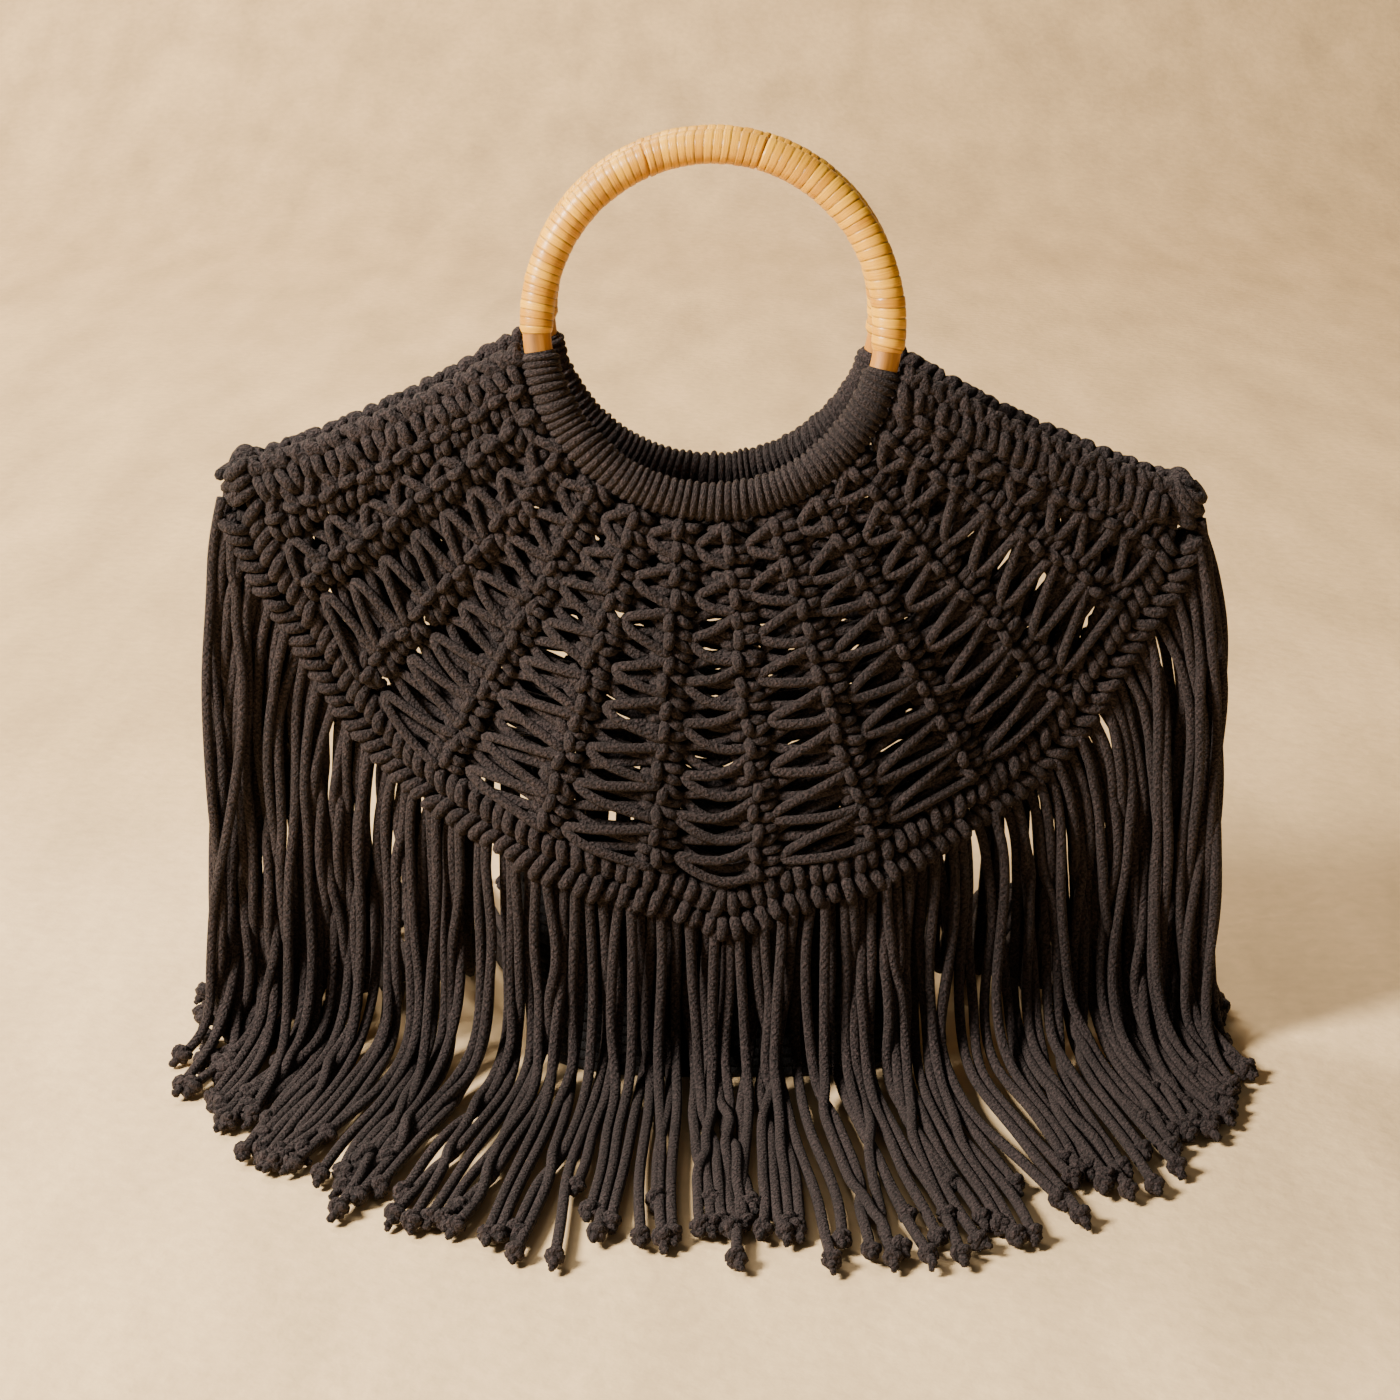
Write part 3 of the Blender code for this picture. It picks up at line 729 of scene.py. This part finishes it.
def sector_loops(cords, side, left, right, column):
    """Loose cords that run out from the spoke on the right, turn at the next one and come back."""
    rows = max(2, round(float(spoke_length(right, side)) / (2 * PILL_PITCH)))
    t = np.linspace(0, 1, 17)
    for layer, (shift, depth) in enumerate(((0.0, 0.0), (0.5, -0.0040))):
        v0 = (np.arange(rows) + 0.06 + shift + jitter(0.05, rows)) / rows
        v1 = v0 + (0.88 + jitter(0.08, rows)) / rows
        middle = (v0 + v1) / 2
        width = sector_width(left, right, np.clip(middle, 0, 1), side)
        turn_u = left + (right - left) * np.clip((column + jitter(0.0012, rows)) / width, 0, 0.6)
        reach = np.sin(np.pi * t) ** (1.25 if layer == 0 else 0.9)
        u = right + (turn_u - right)[:, None] * reach
        v = v0[:, None] + (v1 - v0)[:, None] * t
        lift = depth + 0.0034 - 0.0020 * reach + 0.0018 * np.sin(2 * np.pi * t) ** 2
        sag = 0.0010 + 0.0045 * np.clip(middle - 0.40, 0, 1) + jitter(0.0007, rows)
        cords.add(net_strokes(side, u, np.clip(v, 0, 1.03), lift, sag), CORD, 7)


def sector_floats(cords, side, left, right):
    """Cords that cross straight behind the loops. They get longer and hang lower towards the border."""
    rows = max(4, round(float(spoke_length((left + right) / 2, side)) / FLOAT_PITCH))
    t = np.linspace(0, 1, 11)
    v0 = (np.arange(rows) + 0.5 + jitter(0.15, rows)) / rows
    slope = jitter(0.9, rows) / rows
    u = left + (right - left) * t
    v = v0[:, None] + slope[:, None] * (t - 0.5)
    lift = -0.0052 - 0.0026 * np.sin(np.pi * t)
    sag = 0.0012 + 0.0050 * np.clip(v0 - 0.4, 0, 1)
    cords.add(net_strokes(side, np.broadcast_to(u, v.shape), np.clip(v, 0, 1.02), lift, sag), CORD, 6)


# %% Net pieces
MOST_LOOSE = 0.4
CARRIER = CORD * 1.3  # the cords that run down inside each spoke


def wound(core, axes, halves, pitch, hand=1, slant=0.0, loose=0.1, per_turn=14, start=0.0):
    """One long cord wound round a core path. axes are the two directions square to the path."""
    at = distance_along(core)
    turns = at[-1] / pitch
    where = np.linspace(0, at[-1], int(turns * per_turn) + 2)
    centre, first, second = (look_up(where, at, values) for values in (core, *axes))
    tangent = unit(np.gradient(centre, axis=0))
    knots = np.linspace(0, at[-1], int(turns * 2) + 2)
    changes = [np.clip(jitter(loose, len(knots)), -MOST_LOOSE, MOST_LOOSE) for _ in range(3)]
    change = [1 + np.interp(where, knots, values) for values in changes]
    angle = start + hand * 2 * math.pi * where / pitch + (change[2] - 1) * 2
    slant = np.interp(where / at[-1], np.linspace(0, 1, np.size(slant)), np.atleast_1d(slant))
    return (centre + first * (np.cos(angle) * halves[0] * change[0])[:, None]
            + second * (np.sin(angle) * halves[1] * change[1])[:, None]
            + tangent * (np.cos(angle) * slant)[:, None])


def edge_hitches(cords, side, u):
    """A row of thick hitches close under the shoulder, square to it."""
    rows = round(float(spoke_length(u, side)) / EDGE_PITCH)
    v = (np.arange(rows) + 0.5 + jitter(0.06, rows)) / rows
    unit_u = u_per_metre(u, v, side)
    t = np.linspace(-0.5, 0.5, 9)
    across = jitter(0.0005, rows)[:, None] + (EDGE_LENGTH + jitter(0.0008, rows)[:, None]) * t
    tilt = (jitter(0.0010, rows)[:, None] - 0.0012) * t / spoke_length(u, side)
    lift = -0.0008 + (0.0056 + jitter(0.0006, rows)[:, None]) * arch(9)
    path = net_strokes(side, u + across * unit_u[:, None], v[:, None] + tilt * 2, lift)
    cords.add(path, BORDER_CORD, 8)
    under = net_strokes(side, u + across * unit_u[:, None], v[:, None] - tilt, -0.004 + 0 * lift)
    cords.add(under, CORD, 6)


def build_net(label, side):
    cords = CordMesh()
    spokes = np.concatenate([[EDGE_SPOKE], np.arange(1, SECTORS) / SECTORS, [1 - EDGE_SPOKE]])
    for u in spokes:
        cords.add(panel_point(u, np.linspace(0, 1, 16), side, -0.0008), CARRIER, 7)
        spoke_pills(cords, side, u)
        spoke_hitches(cords, side, u)
    lines = [0.0, *spokes, 1.0]
    for left, right in zip(lines, lines[1:]):
        column = HITCH_LENGTH + 0.0020 if left > 0 else 0.002
        sector_loops(cords, side, left, right - (0.004 if right == 1 else 0.0), column)
        sector_floats(cords, side, left, right)
    for u in EDGE_ROWS:
        edge_hitches(cords, side, u)
    place(cords.build("knotted_net_" + label, COTTON), "cotton_cord", "net_" + label)


for label, side in SIDES.items():
    build_net(label, side)

# %% [markdown]
# Border and shoulders
#
# The band along the edge is two rows of hitches tied over thick carrying cords. Each row is really
# one cord that keeps going round, so it is drawn that way: a long helix with an oval section, whose
# turns slant one way in the outer row and the other way in the inner row, as in a herringbone.

# %% Border pieces
ROW_PITCH = 0.0064
ROW_HALVES = (0.0038, 0.0044)
ROW_ENDS = (0.022, 0.978)
ROWS = (
    {"distance": 0.0054, "hand": -1,
     "slant": (0.0014, 0.0012, 0.0004, -0.0014, -0.0018, -0.0038, -0.0042)},
    {"distance": 0.0156, "hand": 1,
     "slant": (-0.0022, -0.0020, -0.0006, 0.0014, 0.0020, 0.0040, 0.0044)},
)
TWIST_PITCH = 0.0185
TWIST_HALVES = (0.0029, 0.0026)
RIB_PITCH = 0.0066
RIB_HALVES = (0.0029, 0.0029)
KNOT_PITCH = 0.0056
CORNER_UP = (0.267, 0.0, 0.964)  # for the right corner, and mirrored for the left one
CORNER_LUMPS = (
    {"inward": 0.0008, "out": 0.0, "up": -0.0020, "along": "up", "halves": (0.0060, 0.0115),
     "long": 0.0075, "hand": 1, "slant": 0.002},
    {"inward": 0.0040, "out": -0.0088, "up": -0.0010, "along": "up", "halves": (0.0052, 0.0040),
     "long": 0.0072, "hand": -1, "slant": 0.003},
    {"inward": 0.0040, "out": 0.0088, "up": -0.0010, "along": "up", "halves": (0.0052, 0.0040),
     "long": 0.0072, "hand": 1, "slant": 0.003},
    {"inward": 0.0055, "out": 0.0, "up": 0.0048, "along": "out", "halves": (0.0038, 0.0030),
     "long": 0.0090, "hand": 1, "slant": -0.003},
)


def build_border(label, side):
    cords = CordMesh()
    share = np.linspace(*ROW_ENDS, 260)
    axes = border_axes(share, side)[1:]
    for row in ROWS:
        core = border_point(share, row["distance"], side)
        cords.add(core, CORD * 1.2, 6)
        turns = wound(core, axes, ROW_HALVES, ROW_PITCH, row["hand"], row["slant"], 0.28)
        cords.add(turns, BORDER_CORD, 8)
    place(cords.build("knotted_border_" + label, COTTON), "cotton_cord", "border_" + label)


def build_shoulder(label, side, name, hand):
    angle = WRAP_LEFT if hand < 0 else WRAP_RIGHT
    start = ring_point(angle, RING_RADIUS + WRAP_RADIUS * 0.9, side)
    knot = middle_of("corner_knot_" + name)
    end = knot + (-hand * 0.004, side * CORNER_DEPTH, 0.004)
    share = np.linspace(0, 1, 60)[:, None]
    core = start + (end - start) * share
    core[:, 2] -= SHOULDER_SAG * (4 * share * (1 - share))[:, 0]
    out = np.broadcast_to((0.0, side, 0.0), core.shape)
    axes = (unit(np.cross(np.gradient(core, axis=0), out)), out)
    cords = CordMesh()
    for turn in (0, math.pi):
        twist = wound(core, axes, TWIST_HALVES, TWIST_PITCH, hand, 0.0, 0.12, 24, turn)
        cords.add(twist, BORDER_CORD, 8)
    cords.add(wound(core, axes, RIB_HALVES, RIB_PITCH, -hand, 0.0015, 0.12, 16), CORD * 1.15, 7)
    piece = cords.build(f"shoulder_cord_{label}_{name}", COTTON)
    place(piece, "cotton_cord", f"shoulder_{label}_{name}")


def build_corner(name, hand):
    """The cords of both panels end in one blunt knot at each corner."""
    centre = middle_of("corner_knot_" + name)
    up = unit(np.array(CORNER_UP) * (hand, 1, 1))
    inward = np.array((-hand * up[2], 0.0, hand * up[0]))
    out = np.array((0.0, 1.0, 0.0))
    cords = CordMesh()
    for lump in CORNER_LUMPS:
        shift = inward * lump["inward"] + out * lump["out"] + up * lump["up"]
        if lump["along"] == "up":
            along, first = up, inward
        else:
            along, first = out, unit(np.cross(out, (0.3, 0.9, 0.1)))
        core = centre + shift + along * np.linspace(-lump["long"], lump["long"], 30)[:, None]
        axes = [np.broadcast_to(axis, core.shape) for axis in (first, np.cross(along, first))]
        cords.add(core, 0.0040, 10)
        turns = wound(core, axes, lump["halves"], KNOT_PITCH, lump["hand"], lump["slant"], 0.12, 26)
        cords.add(turns, BORDER_CORD, 8)
    place(cords.build("corner_cords_" + name, COTTON), "cotton_cord", "corner_knot_" + name)


for label, side in SIDES.items():
    build_border(label, side)
    for name, hand in HANDS.items():
        build_shoulder(label, side, name, hand)
for name, hand in HANDS.items():
    build_corner(name, hand)

# %% [markdown]
# Fringe
#
# More than a hundred cords hang from each border. They fall straight, bend sharply where they meet
# the floor, spread out along it, and end in a knot with a frayed tip. Rope physics would take minutes
# to settle, so each cord starts as a Bezier curve of its real length, with small wanders of its own.
# Then neighbours that run through each other are pushed apart a little, over and over, which is all
# that a rope solver would have added here.

# %% Fringe shapes
STRANDS = {"front": 138, "back": 124}
STRAND_POINTS = 46
LENGTH_AT_POINT = 0.193
LENGTH_AT_SIDE = 0.245
LENGTH_BETWEEN = 0.013
FRINGE_OUTWARD = 0.003
FAN_LEFT = 0.034
FAN_RIGHT = 0.027
CORNER_BOW = 0.0085
CORNER_BOW_RIGHT = 0.0140
KNEE_SHARE = 0.97
BOW_SHARPNESS = 37.0
LENGTH_SPREAD = 0.068
FRINGE_SWELL = 1.06  # a loose cord is a little fatter than one pulled tight in a knot
KNOT_SIZE = 0.00088
KNOT_HEIGHT = 0.0056
TUFTS = 3
TUFT_HEIGHT = 0.0016
TUFT_RADII = (0.0013, 0.0014, 0.0012)


def bezier(handles, count):
    """A Bezier curve of any degree, for many cords at once. handles is a list of point arrays."""
    t = np.linspace(0, 1, count)[None, :, None]
    level = [point[:, None] for point in handles]
    while len(level) > 1:
        level = [before + (after - before) * t for before, after in zip(level, level[1:])]
    return level[0]


def path_length(paths):
    return np.linalg.norm(np.diff(paths, axis=1), axis=2).sum(1)


def fringe_curve(root, bow, outward, fan, reach, drop, side):
    """A cord that leaves its knot sideways, falls, bends sharply at the floor and fans out along it."""
    zero = np.zeros_like(reach)
    tip = root + np.stack([outward + fan, side * reach, -drop], -1)
    knee = root + np.stack([outward * 0.85, zero, -KNEE_SHARE * drop], -1)
    foot = tip - np.stack([fan * 0.95, side * 0.90 * reach, zero], -1)
    path = bezier((root, knee, knee, foot, foot, tip), STRAND_POINTS)
    path[..., 0] += bow[:, None] * (1 - np.exp(-BOW_SHARPNESS * np.linspace(0, 1, STRAND_POINTS)))
    return path


def fringe_paths(side, count, seed):
    """Each cord's curve, from its root under the border to its tip."""
    rng = np.random.default_rng(seed)
    share = 0.005 + 0.990 * (np.arange(count) + 0.5 + rng.normal(0, 0.20, count)) / count
    layer = np.array((1.0, -1.0, 0.2))[np.arange(count) % 3] + rng.normal(0, 0.25, count)
    root = border_point(share, 0.0045, side, layer * 0.0030 - 0.0012)
    across = root[:, 0] / HALF_WIDTH
    edge = np.abs(across)
    bulge = np.where(across < 0, CORNER_BOW, CORNER_BOW_RIGHT) * np.sign(across)
    bow = bulge * smoothstep((edge - 0.30) / 0.60) * (1 + rng.normal(0, 0.3, count))
    outward = FRINGE_OUTWARD * across**3 + rng.normal(0, 0.002, count)
    fan = np.where(across < 0, FAN_LEFT, FAN_RIGHT) * np.sign(across)
    fan = fan * smoothstep(edge / 0.45) * (1 - edge**5) + rng.normal(0, 0.006, count)
    length = LENGTH_AT_POINT + (LENGTH_AT_SIDE - LENGTH_AT_POINT) * edge
    length = length + LENGTH_BETWEEN * np.clip(4 * edge * (1 - edge), 0, 1)
    length = length * (1 + np.clip(rng.normal(-0.010, LENGTH_SPREAD, count), -0.16, 0.07))
    drop = np.minimum(root[:, 2] - KNOT_HEIGHT, length * 0.985)
    low, high = np.zeros(count), np.full(count, 0.4)
    for _ in range(26):
        middle = (low + high) / 2
        long = path_length(fringe_curve(root, bow, outward, fan, middle, drop, side)) > length
        low, high = np.where(long, low, middle), np.where(long, middle, high)
    paths = fringe_curve(root, bow, outward, fan, (low + high) / 2, drop, side)
    return np.stack([resample(path, STRAND_POINTS) for path in paths]), rng


def add_wander(paths, rng, size=0.0020):
    """Slow bends that fade out at the root, and a belly that lets one cord hang before another."""
    count, steps = paths.shape[:2]
    t = np.linspace(0, 1, steps)
    side_cords = 1 + 0.6 * np.abs(paths[:, :1, 0] / HALF_WIDTH) ** 2
    for waves in (0.8, 1.9, 3.4):
        phase = rng.random((count, 1)) * 2 * math.pi
        wave = np.sin(waves * 2 * math.pi * t + phase)
        for axis in (0, 1):
            bend = rng.normal(0, size / waves, (count, 1)) * side_cords * wave
            paths[..., axis] += bend * np.clip(t * 4, 0, 1)
    paths[..., 1] += rng.normal(0, 0.0035, (count, 1)) * np.sin(math.pi * t)
    return paths


def gather(paths, rng):
    """Pulls neighbouring tips towards each other, in bunches of one to four."""
    count, steps = paths.shape[:2]
    fade = np.linspace(0, 1, steps)[:, None] ** 4
    start = 0
    while start < count:
        stop = start + int(rng.integers(1, 5))
        bunch = paths[start:stop]
        middle = bunch[:, -1].mean(0)
        pull = (middle - bunch[:, -1]) * (0.12, 0.0, 0)
        paths[start:stop] = bunch + pull[:, None] * fade
        start = stop
    return paths


def push_apart(paths, radius, rounds, reach=8, shifts=4):
    """Moves points of neighbouring cords until they are a cord's width apart, and off the floor."""
    apart = 2 * radius
    free = np.clip(np.linspace(-0.06, 1.6, paths.shape[1]), 0, 1)[:, None]
    for _ in range(rounds):
        move = np.zeros_like(paths)
        for near in range(1, reach + 1):
            for shift in range(-shifts, shifts + 1):
                a = paths[:-near, max(0, -shift): paths.shape[1] - max(0, shift)]
                b = paths[near:, max(0, shift): paths.shape[1] - max(0, -shift)]
                gap = b - a
                distance = np.linalg.norm(gap, axis=2, keepdims=True)
                push = gap / np.maximum(distance, 1e-6) * np.clip(apart - distance, 0, None) * 0.22
                move[near:, max(0, shift): paths.shape[1] - max(0, -shift)] += push
                move[:-near, max(0, -shift): paths.shape[1] - max(0, shift)] -= push
        paths = paths + np.clip(move, -radius / 2, radius / 2) * free
        inner = (paths[:, :-2] + paths[:, 2:]) / 2
        paths[:, 1:-1] += (inner - paths[:, 1:-1]) * 0.25 * free[1:-1]
        paths[..., 2] = np.maximum(paths[..., 2], radius)
    return paths


def trefoil(count=26):
    t = np.linspace(0, 2 * math.pi, count)
    wide = 2 + np.cos(3 * t)
    return np.stack([wide * np.cos(2 * t), wide * np.sin(2 * t), 1.6 * np.sin(3 * t)], -1)


def add_knots(cords, paths, rng):
    """An overhand knot at each tip, with the end of the cord and its loose fibres beyond it."""
    tips = paths[:, -1]
    along = unit(paths[:, -1] - paths[:, -4])
    across = unit(np.cross(along, rng.normal(0, 1, along.shape)))
    up = np.cross(along, across)
    centre = tips + along * 0.0020
    centre[:, 2] = np.maximum(centre[:, 2], KNOT_HEIGHT)
    size = KNOT_SIZE * (1 + rng.normal(0, 0.08, len(tips)))[:, None, None]
    shape = trefoil()
    turned = sum(axis[:, None] * shape[None, :, i:i + 1] for i, axis in enumerate((across, up, along)))
    cords.add(centre[:, None] + size * turned, CORD, 6)
    beyond = along * (0.0048 + rng.random((len(tips), 1)) * 0.0016)
    end = centre + beyond + rng.normal(0, 0.0008, tips.shape)
    end[:, 2] = np.clip(end[:, 2] - 0.001, CORD, None)
    t = np.linspace(0, 1, 5)[None, :, None]
    stub = centre[:, None] * (1 - t) + end[:, None] * t
    cords.add(stub, np.linspace(CORD * 0.95, CORD * 0.90, 5), 6)
    start = end - along * 0.0012
    start[:, 2] = np.maximum(start[:, 2], TUFT_HEIGHT)
    t = t[:, ::2]
    for _ in range(TUFTS):
        beyond = along * rng.uniform(0.0002, 0.0009, (len(tips), 1))
        finish = end + beyond + rng.normal(0, 0.0008, end.shape)
        finish[:, 2] = np.maximum(finish[:, 2], TUFT_HEIGHT)
        cords.add(start[:, None] * (1 - t) + finish[:, None] * t, TUFT_RADII, 5)


# %% Fringe pieces


def build_fringe(label, side, seed):
    paths, rng = fringe_paths(side, STRANDS[label], seed)
    paths = gather(add_wander(paths, rng), rng)
    paths = push_apart(paths, CORD * FRINGE_SWELL, 40)
    cords = CordMesh()
    cords.add(paths, CORD * FRINGE_SWELL, 7)
    add_knots(cords, paths, rng)
    lengths = path_length(paths).round(3)
    print(label, "cords are", lengths.min(), "to", lengths.max(), "m long")
    place(cords.build("fringe_cords_" + label, COTTON), "cotton_cord", "fringe_" + label)


for number, (label, side) in enumerate(SIDES.items()):
    build_fringe(label, side, 50 + number)

# %% [markdown]
# Pouch
#
# Behind the fringe stands a pouch, worked in rounds like a coiled basket. Its cord is painted
# near-black, far darker than the bag's cotton: that is painted shade, for the shadow inside the bag.
# Each round is a closed loop of thicker cord, so the wall is a stack of rings that follow the pouch's
# outline, and the floor is the same loop drawn smaller and smaller.

# %% Pouch rounds
POUCH_CORD = 0.0028
POUCH_SQUARENESS = 3.2
pouch_low, pouch_high = (np.array(corner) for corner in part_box("pouch"))
POUCH_FLOOR_HALF = np.array((0.085, 0.046))


def pouch_loop(half, height, count=80):
    """One round: an oval with squared corners, closed on itself."""
    turn = np.linspace(0, 2 * math.pi, count + 1)
    power = 2 / POUCH_SQUARENESS
    x = half[0] * np.sign(np.cos(turn)) * np.abs(np.cos(turn)) ** power
    y = half[1] * np.sign(np.sin(turn)) * np.abs(np.sin(turn)) ** power
    middle = (pouch_low + pouch_high) / 2
    return resample(np.stack([middle[0] + x, middle[1] + y, np.full_like(x, height)], -1), count + 1)


def build_pouch():
    cords = CordMesh()
    rim_half = (pouch_high - pouch_low)[:2] / 2
    heights = np.arange(POUCH_CORD, pouch_high[2] - POUCH_CORD / 2, POUCH_CORD * 1.75)
    for height in heights:
        share = height / pouch_high[2]
        half = POUCH_FLOOR_HALF + (rim_half - POUCH_FLOOR_HALF) * share - POUCH_CORD
        cords.add(pouch_loop(half, height), POUCH_CORD, 6)
    for inset in np.arange(POUCH_CORD * 2.75, POUCH_FLOOR_HALF[1], POUCH_CORD * 1.75):
        cords.add(pouch_loop(POUCH_FLOOR_HALF - inset, POUCH_CORD, 72), POUCH_CORD, 6)
    place(cords.build("pouch_rounds", POUCH_COTTON), "pouch_cord", "pouch")


build_pouch()

# %% [markdown]
# Floor, light and camera
#
# The bag stands on a pale beige sweep in soft light from the upper left. A large area light gives
# the soft shadow to the right, a weaker one opens the shadows, and the world does the rest.

# %% Stage
FLOOR_REACH = 4.0
SWEEP_START = 2.2
SWEEP_RADIUS = 1.2
FLOOR_BEIGE = (0.73, 0.520, 0.280, 1.0)
# The wall beige is the floor's plaster darkened as painted shade.
WALL_BEIGE_IN_SHADE = (0.63, 0.436, 0.218, 1.0)


def make_stage_material():
    """One plaster for floor and wall, with painted shade: it darkens a little behind the bag, where the
    wall is dimmer, and to its right, where the key light falls off.
    """
    material, tree, shader = new_material("beige plaster")
    place_in_space = node(tree, "ShaderNodeTexCoord").outputs["Object"]
    to_right, depth, _ = node(tree, "ShaderNodeSeparateXYZ", {0: place_in_space}).outputs
    # Painted shade: just behind the bag, the floor's tone turns to the darker wall beige of the dimmer
    # wall.
    edges = {0: depth, 1: 0.10, 2: 0.42}
    behind = node(tree, "ShaderNodeMapRange", edges, interpolation_type="SMOOTHSTEP").outputs[0]
    base = mix_colour(tree, behind, FLOOR_BEIGE, WALL_BEIGE_IN_SHADE)
    stretch = {0: place_in_space, 1: (1.0, 0.3, 1.0)}
    squeezed = node(tree, "ShaderNodeVectorMath", stretch, operation="MULTIPLY").outputs[0]
    clouds = noise(tree, squeezed, 16.0, 8.0)
    brush = node(tree, "ShaderNodeMapRange", {0: clouds, 1: 0.3, 2: 0.7, 3: 0.86, 4: 1.14}).outputs[0]
    base = mix_colour(tree, 1.0, base, brush, "MULTIPLY")
    # Painted shade: the plaster darkens to the right, as the key light falls off.
    away = node(tree, "ShaderNodeMapRange", {0: to_right, 1: 0.15, 2: 0.90, 3: 1.0, 4: 0.92}).outputs[0]
    base = mix_colour(tree, 1.0, base, away, "MULTIPLY")
    fine = use_group(tree, DRIFT, {"Color": base, "Scale": 110.0, "Amount": 0.14})
    fill(tree, shader, {
        "Base Color": fine["Color"],
        "Roughness": 0.9,
        "Specular IOR Level": 0.2,
        "Normal": bump(tree, fine["Mask"], 0.0008),
    })
    return material


def build_stage():
    """A flat floor that curves up into a wall far behind the bag."""
    profile = [(-FLOOR_REACH, 0.0)]
    for bend in np.linspace(0, math.pi / 2, 24):
        profile.append((SWEEP_START + SWEEP_RADIUS * math.sin(bend), SWEEP_RADIUS * (1 - math.cos(bend))))
    profile.append((SWEEP_START + SWEEP_RADIUS, FLOOR_REACH))
    points = [(x, y, z) for y, z in profile for x in (-FLOOR_REACH, FLOOR_REACH)]
    faces = [(2 * i, 2 * i + 1, 2 * i + 3, 2 * i + 2) for i in range(len(profile) - 1)]
    mesh = bpy.data.meshes.new("sweep")
    mesh.from_pydata(points, [], faces)
    mesh.shade_smooth()
    mesh.materials.append(make_stage_material())
    add_object("sweep", mesh)


build_stage()

# %% Light
LAMP_COLOUR = (1.0, 0.93, 0.84)
WORLD_STRENGTH = 0.10
LIGHTS = (
    {"name": "key", "place": (-1.45, -0.85, 1.40), "aim": (0.0, 0.0, 0.18), "size": 0.60, "power": 152.0},
    {"name": "fill", "place": (1.6, -1.4, 1.0), "aim": (0.0, 0.0, 0.18), "size": 1.6, "power": 1.2},
    {"name": "top", "place": (-0.6, 0.8, 1.9), "aim": (-0.1, 0.0, 0.18), "size": 1.0, "power": 16.0},
    {"name": "wall", "place": (-1.7, 1.3, 2.2), "aim": (-0.5, 3.4, 0.8), "size": 1.5, "power": 175.0},
)


def look_rotation(place_at, aim):
    """The rotation that points a lamp from its place to its aim."""
    return Vector(np.subtract(aim, place_at)).to_track_quat("-Z", "Y").to_euler()


for row in LIGHTS:
    data = bpy.data.lights.new(row["name"], "AREA")
    data.shape = "DISK"
    data.size = row["size"]
    data.energy = row["power"]
    data.color = LAMP_COLOUR
    lamp = add_object(row["name"], data)
    lamp.location = row["place"]
    lamp.rotation_euler = look_rotation(row["place"], row["aim"])

world = bpy.data.worlds.new("studio")
world.use_nodes = True
world.node_tree.nodes["Background"].inputs[0].default_value = (*LAMP_COLOUR, 1.0)
world.node_tree.nodes["Background"].inputs[1].default_value = WORLD_STRENGTH
bpy.context.scene.world = world

# %% Camera
camera_data = bpy.data.cameras.new("camera")
camera_data.lens = 70.0
camera_data.sensor_width = 36.0
camera = add_object("camera", camera_data)
camera.location = (-0.0054, -1.1463, 0.5443)
camera.rotation_euler = (math.radians(71.6), 0.0, 0.0)
bpy.context.scene.camera = camera
